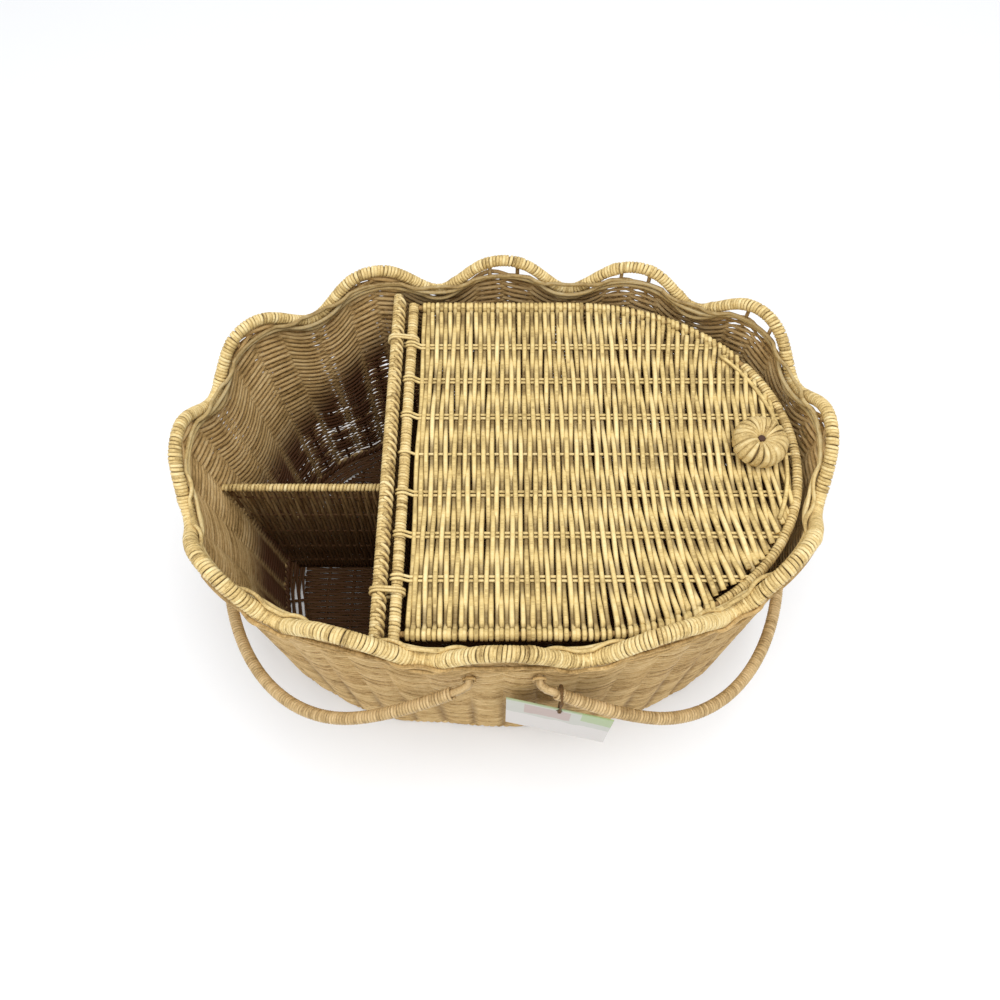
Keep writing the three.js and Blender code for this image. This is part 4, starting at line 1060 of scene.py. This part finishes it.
class BASKET_OT_lid(bpy.types.Operator):
    """Weave the lid over its ribs, wind its rods and tie its hinge"""

    bl_idname = "basket.lid"
    bl_label = "Lid"

    def execute(self, context):
        self.rods()
        self.weave()
        self.ribs()
        self.ties()
        return {"FINISHED"}

    def rods(self):
        x, height, radius = HINGE_ROD
        end = BOW_HALF_DEPTH + BOW_RADIUS
        path = straight((x, -end, height), (x, end, height))
        core_rod("hinge_rod", 51, path, 3.1, "lid", "lid_hinge_rod")
        winding = Canes("hinge_rod_winding", 52)
        out, up = square_frame(path, UP)
        winding.wind(path, out, up, radius, sizes().rod_pitch / MM, width=2.9, thickness=1.9,
                     jitter=0.2)
        winding.finish("wound_cane", "lid", "cane_wrap", "lid_hinge_wrap")

        start = x + 4
        core_rod("bow_rod", 53, lid_bow(start), 2.3, "lid", "lid_bow_rod", shade=0.8)
        winding = Canes("bow_winding", 54)
        bow = lid_bow(start, steps=400)
        bare = bow[bow[:, 0] > np.where(bow[:, 1] < 0, LOOPED_FRONT, LOOPED_BACK) + 2]
        out, up = square_frame(bare, UP)
        winding.wind(bare, out, up, BOW_RADIUS, pitch=2.55, width=2.7, thickness=1.7, jitter=0.18)
        winding.finish("wound_cane", "lid", "cane_wrap", "lid_bow_wrap")

    def weave(self):
        size = sizes()
        radius = size.lid_radius / MM
        weave = Canes("lid_canes", 55)
        starts = np.arange(HINGE_ROD[0] + LID_FIRST_WEAVER, LID_LAST_WEAVER, size.lid_pitch / MM)
        for i, start in enumerate(starts):
            path = self.weaver(start, (-1) ** i, weave.draw)
            if len(path) > 6:
                fanned = 1 + 0.22 * smooth(start, 40, 190) * smooth(-path[:, 1], 10, 130)
                girth = radius * weave.draw.uniform(0.94, 1.06) * fanned
                # Painted shade where a weaver dips under the ribs, down to half its colour
                dip = smooth(path[:, 2] - LID_HEIGHT, -2.4, -0.2)
                weave.lay(path, girth, UP, flat=0.86, shade=0.5 + 0.5 * dip)
        inner = lid_bow(HINGE_ROD[0] + 4, 8.6)
        inner = inner[(inner[:, 0] > LOOPED_FRONT) & (inner[:, 1] > -62) & (inner[:, 1] < 96)]
        weave.lay(inner + [0, 0, 3.2], radius=1.8, face=UP)
        weave.finish("lid_cane", "lid", "weave", "lid_weave")

    def weaver(self, start, way, draw):
        """One weaver from its front end to its back end. It bends toward the lid's curved end,
        and is looped over the bow where no winding covers that."""
        y = np.linspace(-BOW_HALF_DEPTH, BOW_HALF_DEPTH, 73)
        share = y / BOW_HALF_DEPTH
        front = smooth(start, 20, 185) * 34 * share ** 2 * (y < 0)
        back = smooth(start, 80, 200) * (26 * np.abs(share) ** 3.2) * (y > 0)
        drift = draw.uniform(-0.35, 0.35) + 0.6 * np.sin(y / 21 + draw.uniform(0, 6))
        x = start + front + back + drift
        inside = np.abs(y) < lid_half_depth(x) - 4.2
        y, x = y[inside], x[inside]
        if len(y) < 6:
            return y
        from_hinge = smooth(start - HINGE_ROD[0], 12, 17)
        swing = (0.9 + 1.85 * from_hinge) * way * np.cos(np.pi * y / RIB_SPACING)
        path = columns(x, y, LID_HEIGHT + swing - 0.5 * (1 - from_hinge))
        if path[0, 0] < LOOPED_FRONT:
            path = np.concatenate([self.knuckle(path[0], -1), path])
        if path[-1, 0] < LOOPED_BACK:
            path = np.concatenate([path, self.knuckle(path[-1], 1)[::-1]])
        return path

    def knuckle(self, end, side):
        """A weaver's end, looped round the bow rod from over or under it."""
        edge = side * lid_half_depth(end[0])
        way = 1 if end[2] > LID_HEIGHT else -1
        turn = np.radians([-130, -80, -30, 20, 70, 120, 170, 215])
        across = edge + side * KNUCKLE_RADIUS * np.cos(turn)
        return columns(end[0], across, LID_HEIGHT + way * KNUCKLE_RADIUS * np.sin(turn))

    def ribs(self):
        """Pairs of ribs, and a single one in the middle, hooked over the hinge rod."""
        ribs = Canes("lid_ribs", 56)
        x = HINGE_ROD[0]
        turn = np.radians([150, 120, 90, 60, 35])
        middle = RIBS // 2
        for i in range(RIBS):
            for shift in ([0] if i == middle else [-1.6, 1.6]):
                y = (i - middle) * RIB_SPACING + shift
                hook = columns(x + 5.1 * np.cos(turn), y, LID_HEIGHT + 5.1 * np.sin(turn))
                body = straight((x + 8, y, LID_HEIGHT), (lid_reach(y) - 2.5, y, LID_HEIGHT), 30)
                ribs.lay(np.concatenate([hook, body]), radius=1.3, face=UP, flat=0.95)
        nodes = [f"lid_stake_{i}" for i in range(1, RIBS + 1)]
        ribs.finish("lid_cane", "lid", "cane_core", *nodes)

    def ties(self):
        """Two pairs of closed loops round the divider's rod and the lid's hinge rod."""
        ties = Canes("hinge_ties", 57)
        loop = belt(MAIN_ROD[:2], 6.0, HINGE_ROD[:2], 5.7)
        spread = 1 + 0.2 * np.cos(np.linspace(-3, 3, len(loop)))
        for place in TIE_PLACES:
            centre = columns((MAIN_ROD[0] + HINGE_ROD[0]) / 2, place, LID_HEIGHT + 1)
            for shift in (-1.5, 1.5):
                points = columns(loop[:, 0], place + shift * spread, loop[:, 1])
                face = unit(points - centre)
                ties.lay(points, radius=1.25, face=face, flat=0.9, closed=True)
        ties.finish("wound_cane", "basket", "cane_wrap", "hinge_tie_back", "hinge_tie_front")


class BASKET_OT_knob(bpy.types.Operator):
    """Wind the knob round its ring with one long cane"""

    bl_idname = "basket.knob"
    bl_label = "Knob"

    def execute(self, context):
        self.core()
        self.winding()
        return {"FINISHED"}

    def core(self):
        turn = np.linspace(0, 2 * np.pi, 33)[:-1]
        ring = Canes("knob_core", 61, resolution=3)
        points = columns(KNOB_RING_RADIUS * np.cos(turn), KNOB_RING_RADIUS * np.sin(turn), 0) + KNOB
        # The ring shows only in the gaps between the turns, so its half shade is painted shade
        ring.lay(points, radius=6.8, face=UP, shade=0.5, closed=True)
        ring.finish("woven_cane", "lid", "cane_core", "knob_ring")

    def winding(self):
        """One cane wound through the ring. Its turns stray, and some rise over their neighbours."""
        steps = 20
        cane = Canes("knob_cane", 62)
        count = np.arange(KNOB_TURNS * steps + 1) / steps
        this_turn = np.floor(count).astype(int)
        turns = np.arange(KNOB_TURNS + 1)
        lane = turns + cane.draw.uniform(-0.22, 0.22, KNOB_TURNS + 1)
        lift = cane.draw.uniform(-0.35, 0.75, KNOB_TURNS + 2)
        around = 2 * np.pi * np.interp(count, turns, lane) / KNOB_TURNS
        angle = 2 * np.pi * count - np.pi / 4
        skews = cane.draw.uniform(-0.06, 0.3, 9)
        skews = np.interp(turns, np.linspace(0, KNOB_TURNS, len(skews)), skews)
        around = around + skews[this_turn] * np.cos(angle - 0.6)
        push = np.interp(count, np.arange(KNOB_TURNS + 2), lift) * (0.7 - 0.5 * np.cos(angle))
        radius = KNOB_RING_RADIUS + (KNOB_PATH_RADIUS + push) * np.cos(angle)
        radius -= 0.9 * smooth(-np.cos(angle), 0.3, 1)
        height = (KNOB_HALF_HEIGHT + push) * np.sin(angle)
        points = columns(radius * np.cos(around), radius * np.sin(around), height) + KNOB
        outward = np.cos(angle)
        face = columns(outward * np.cos(around), outward * np.sin(around), np.sin(angle))
        width = np.clip(2 * np.pi * radius / KNOB_TURNS * 1.1, 2.6, 6.8)
        flat = (KNOB_CANE / width).clip(0, 1)
        tones = cane.draw.uniform(-0.8, 0.8, KNOB_TURNS + 1)
        cane.lay(points, width / 2, face, flat, shade=0.88, tone=tones[this_turn])
        cane.finish("wound_cane", "lid", "cane_wrap", "knob_winding")


class BASKET_OT_handles(bpy.types.Operator):
    """Wind the two handles and seat their ends in the wall"""

    bl_idname = "basket.handles"
    bl_label = "Handles"

    def execute(self, context):
        for name, side in (("left", -1), ("right", 1)):
            self.handle(name, side)
        self.eyes()
        return {"FINISHED"}

    def handle(self, name, side):
        body = "handle_" + name
        normal = np.array([side * math.sin(DROOP), 0, math.cos(DROOP)])
        low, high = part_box(body + "_knot_back")
        turn = np.linspace(0, np.pi / 2, 6)
        bend = CORNER_RADIUS * columns(1 - np.cos(turn), np.sin(turn) - 1) + [0, LEG_START]
        peg = columns(0, np.linspace(low.y / MM - 1, LEG_START - CORNER_RADIUS - 1, 5))
        half = np.concatenate([peg, bend, handle_half(CORNER_RADIUS + 1.4)])
        path = hang(both_halves(half), side)
        core = Canes(body + "_cane", 71 + side, resolution=2)
        core.lay(path, radius=3.0, face=normal, tone=0.2)
        core.finish("handle_cane", body, "cane_core", body + "_rod")

        path = hang(both_halves(handle_half(HANDLE_BARE, 90)), side)
        out, up = square_frame(path, normal)
        winding = Canes(body + "_winding", 75 + side)
        winding.wind(path, out, up, HANDLE_RADIUS, sizes().handle_pitch / MM, width=2.6,
                     thickness=1.7, jitter=0.1, spread=0.8)
        winding.finish("handle_cane", body, "handle_wrap", body + "_wrap")
        self.knots(body, side, (low.y + high.y) / 2 / MM)

    def knots(self, body, side, knot_y):
        """Coils in two layers round each end, inside the wall, which keep it from slipping out."""
        knots = Canes(body + "_knots", 79 + side)
        x = side * PIVOT_X
        for y in (-knot_y, knot_y):
            for half_length, radius in ((2.6, 4.9), (1.7, 7.0)):
                start, end = y - half_length, y + half_length
                peg = straight((x, start, PIVOT_HEIGHT), (x, end, PIVOT_HEIGHT), 8)
                out, up = square_frame(peg, UP)
                knots.wind(peg, out, up, radius, pitch=2.0, width=2.3, thickness=2.1, steps=14,
                           jitter=0.05)
        knots.finish("handle_cane", body, "cane_core", body + "_knot_front", body + "_knot_back")

    def eyes(self):
        """A double ring of cane in the wall round each end of the handles."""
        eyes = Canes("pivot_eyes", 85)
        turn = np.linspace(0, 4 * np.pi, 40)
        face = columns(np.cos(turn), 0, np.sin(turn))
        ring = 4.3 * face
        names = []
        for label, x in (("left", -PIVOT_X), ("right", PIVOT_X)):
            for place, way in (("front", -1), ("back", 1)):
                name = f"pivot_eye_{label}_{place}"
                names.append(name)
                low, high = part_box(name)
                y = (low.y + high.y) / 2 / MM + way * np.linspace(-0.7, 0.3, len(turn))
                points = columns(x + ring[:, 0], y, PIVOT_HEIGHT + ring[:, 2])
                eyes.lay(points, radius=1.0, face=face)
        eyes.finish("woven_cane", "basket", "cane_core", *names)


class BASKET_OT_tag(bpy.types.Operator):
    """Tie the tag to the right handle"""

    bl_idname = "basket.tag"
    bl_label = "Tag"

    def execute(self, context):
        low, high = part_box("tag_tie")
        x = (low.x + high.x) / 2 / MM
        rod = (-leg_across(TAG_LEG_REACH), PIVOT_HEIGHT - TAG_LEG_REACH * math.sin(DROOP))
        low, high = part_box("swing_tag")
        hole = ((low.y + high.y) / 2 / MM, high.z / MM - TAG_HOLE_DROP)
        line = belt(rod, HANDLE_RADIUS / math.cos(DROOP) + 1.2, hole, 1.4, steps=16)
        twists = np.linspace(0, 14 * 2 * np.pi, len(line), endpoint=False)  # 14 whole ones
        twine = Canes("tag_twine", 91)
        for phase in (0, math.pi):
            turn = twists + phase
            points = columns(x + 0.8 * np.cos(turn), line[:, 0], line[:, 1] + 0.4 * np.sin(turn))
            twine.lay(points, radius=0.85, face=(1, 0, 0), closed=True)
        twine.finish("twisted_twine", "tag", "twine", "tag_tie")
        return {"FINISHED"}


class BASKET_OT_stage(bpy.types.Operator):
    """Set the pale floor, the soft light and the camera"""

    bl_idname = "basket.stage"
    bl_label = "Stage"

    def execute(self, context):
        scene = context.scene
        setting = scene.basket_stage
        scene.view_settings.view_transform = "Standard"
        scene.view_settings.look = "None"
        self.floor(scene)
        self.light(scene, setting)
        camera_data = bpy.data.cameras.new("camera")
        camera_data.lens = setting.focal_length
        camera_data.sensor_width = 36
        camera_data.clip_start = 0.01
        camera = bpy.data.objects.new("camera", camera_data)
        camera.location = (setting.camera_side, -setting.camera_distance, setting.camera_height)
        camera.rotation_euler = (setting.camera_tilt, 0, 0)
        scene.collection.objects.link(camera)
        scene.camera = camera
        return {"FINISHED"}

    def floor(self, scene):
        finish = Finish("studio_paper")
        fine = finish.noise(finish.place(), 60, 3)
        paper = finish.blend(fine * 0.5, (0.90, 0.912, 0.93), (0.885, 0.897, 0.915))
        finish.wear(base_color=paper, roughness=0.9)
        shape = bmesh.new()
        bmesh.ops.create_grid(shape, x_segments=4, y_segments=4, size=6)
        bmesh.ops.translate(shape, verts=shape.verts, vec=(0, 0, -0.0004))
        mesh = bpy.data.meshes.new("studio_floor")
        shape.to_mesh(mesh)
        shape.free()
        mesh.materials.append(finish.material)
        floor = bpy.data.objects.new("studio_floor", mesh)
        scene.collection.objects.link(floor)

    def light(self, scene, setting):
        world = bpy.data.worlds.new("studio")
        world.use_nodes = True
        background = world.node_tree.nodes["Background"]
        background.inputs["Color"].default_value = (1, 1, 1, 1)
        background.inputs["Strength"].default_value = setting.sky
        scene.world = world
        for name, place, size, power in (
            ("key_lamp", (0.4, -0.4, 2.6), 1.8, setting.lamp),
            ("fill_lamp", (-1.3, -1.0, 2.1), 1.5, setting.lamp * 0.3),
        ):
            lamp = bpy.data.lights.new(name, "AREA")
            lamp.size = size
            lamp.energy = power
            holder = bpy.data.objects.new(name, lamp)
            holder.location = place
            aim = Vector((0, 0, 0.1)) - Vector(place)
            holder.rotation_euler = aim.to_track_quat("-Z", "Y").to_euler()
            scene.collection.objects.link(holder)


class BASKET_PT_sidebar(bpy.types.Panel):
    """The basket's makers and settings"""

    bl_label = "Basket"
    bl_idname = "BASKET_PT_sidebar"
    bl_space_type = "VIEW_3D"
    bl_region_type = "UI"
    bl_category = "Basket"

    def draw(self, context):
        scene = context.scene
        for group in (scene.basket_sizes, scene.basket_colours, scene.basket_stage):
            box = self.layout.box()
            for name in group.__annotations__:
                box.prop(group, name)
        for maker in MAKERS:
            self.layout.operator(maker.bl_idname)


GROUPS = (BasketColours, BasketSizes, StageSettings)
MAKERS = (
    BASKET_OT_finishes, BASKET_OT_floor, BASKET_OT_wall, BASKET_OT_rim, BASKET_OT_dividers,
    BASKET_OT_lid, BASKET_OT_knob, BASKET_OT_handles, BASKET_OT_tag, BASKET_OT_stage,
)


def register():
    for kind in (*GROUPS, *MAKERS, BASKET_PT_sidebar):
        bpy.utils.register_class(kind)
    bpy.types.Scene.basket_colours = PointerProperty(type=BasketColours)
    bpy.types.Scene.basket_sizes = PointerProperty(type=BasketSizes)
    bpy.types.Scene.basket_stage = PointerProperty(type=StageSettings)


def unregister():
    del bpy.types.Scene.basket_stage
    del bpy.types.Scene.basket_sizes
    del bpy.types.Scene.basket_colours
    for kind in reversed((*GROUPS, *MAKERS, BASKET_PT_sidebar)):
        bpy.utils.unregister_class(kind)


def main():
    register()
    for maker in MAKERS:
        group, name = maker.bl_idname.split(".")
        getattr(getattr(bpy.ops, group), name)()


if __name__ == "__main__":
    main()
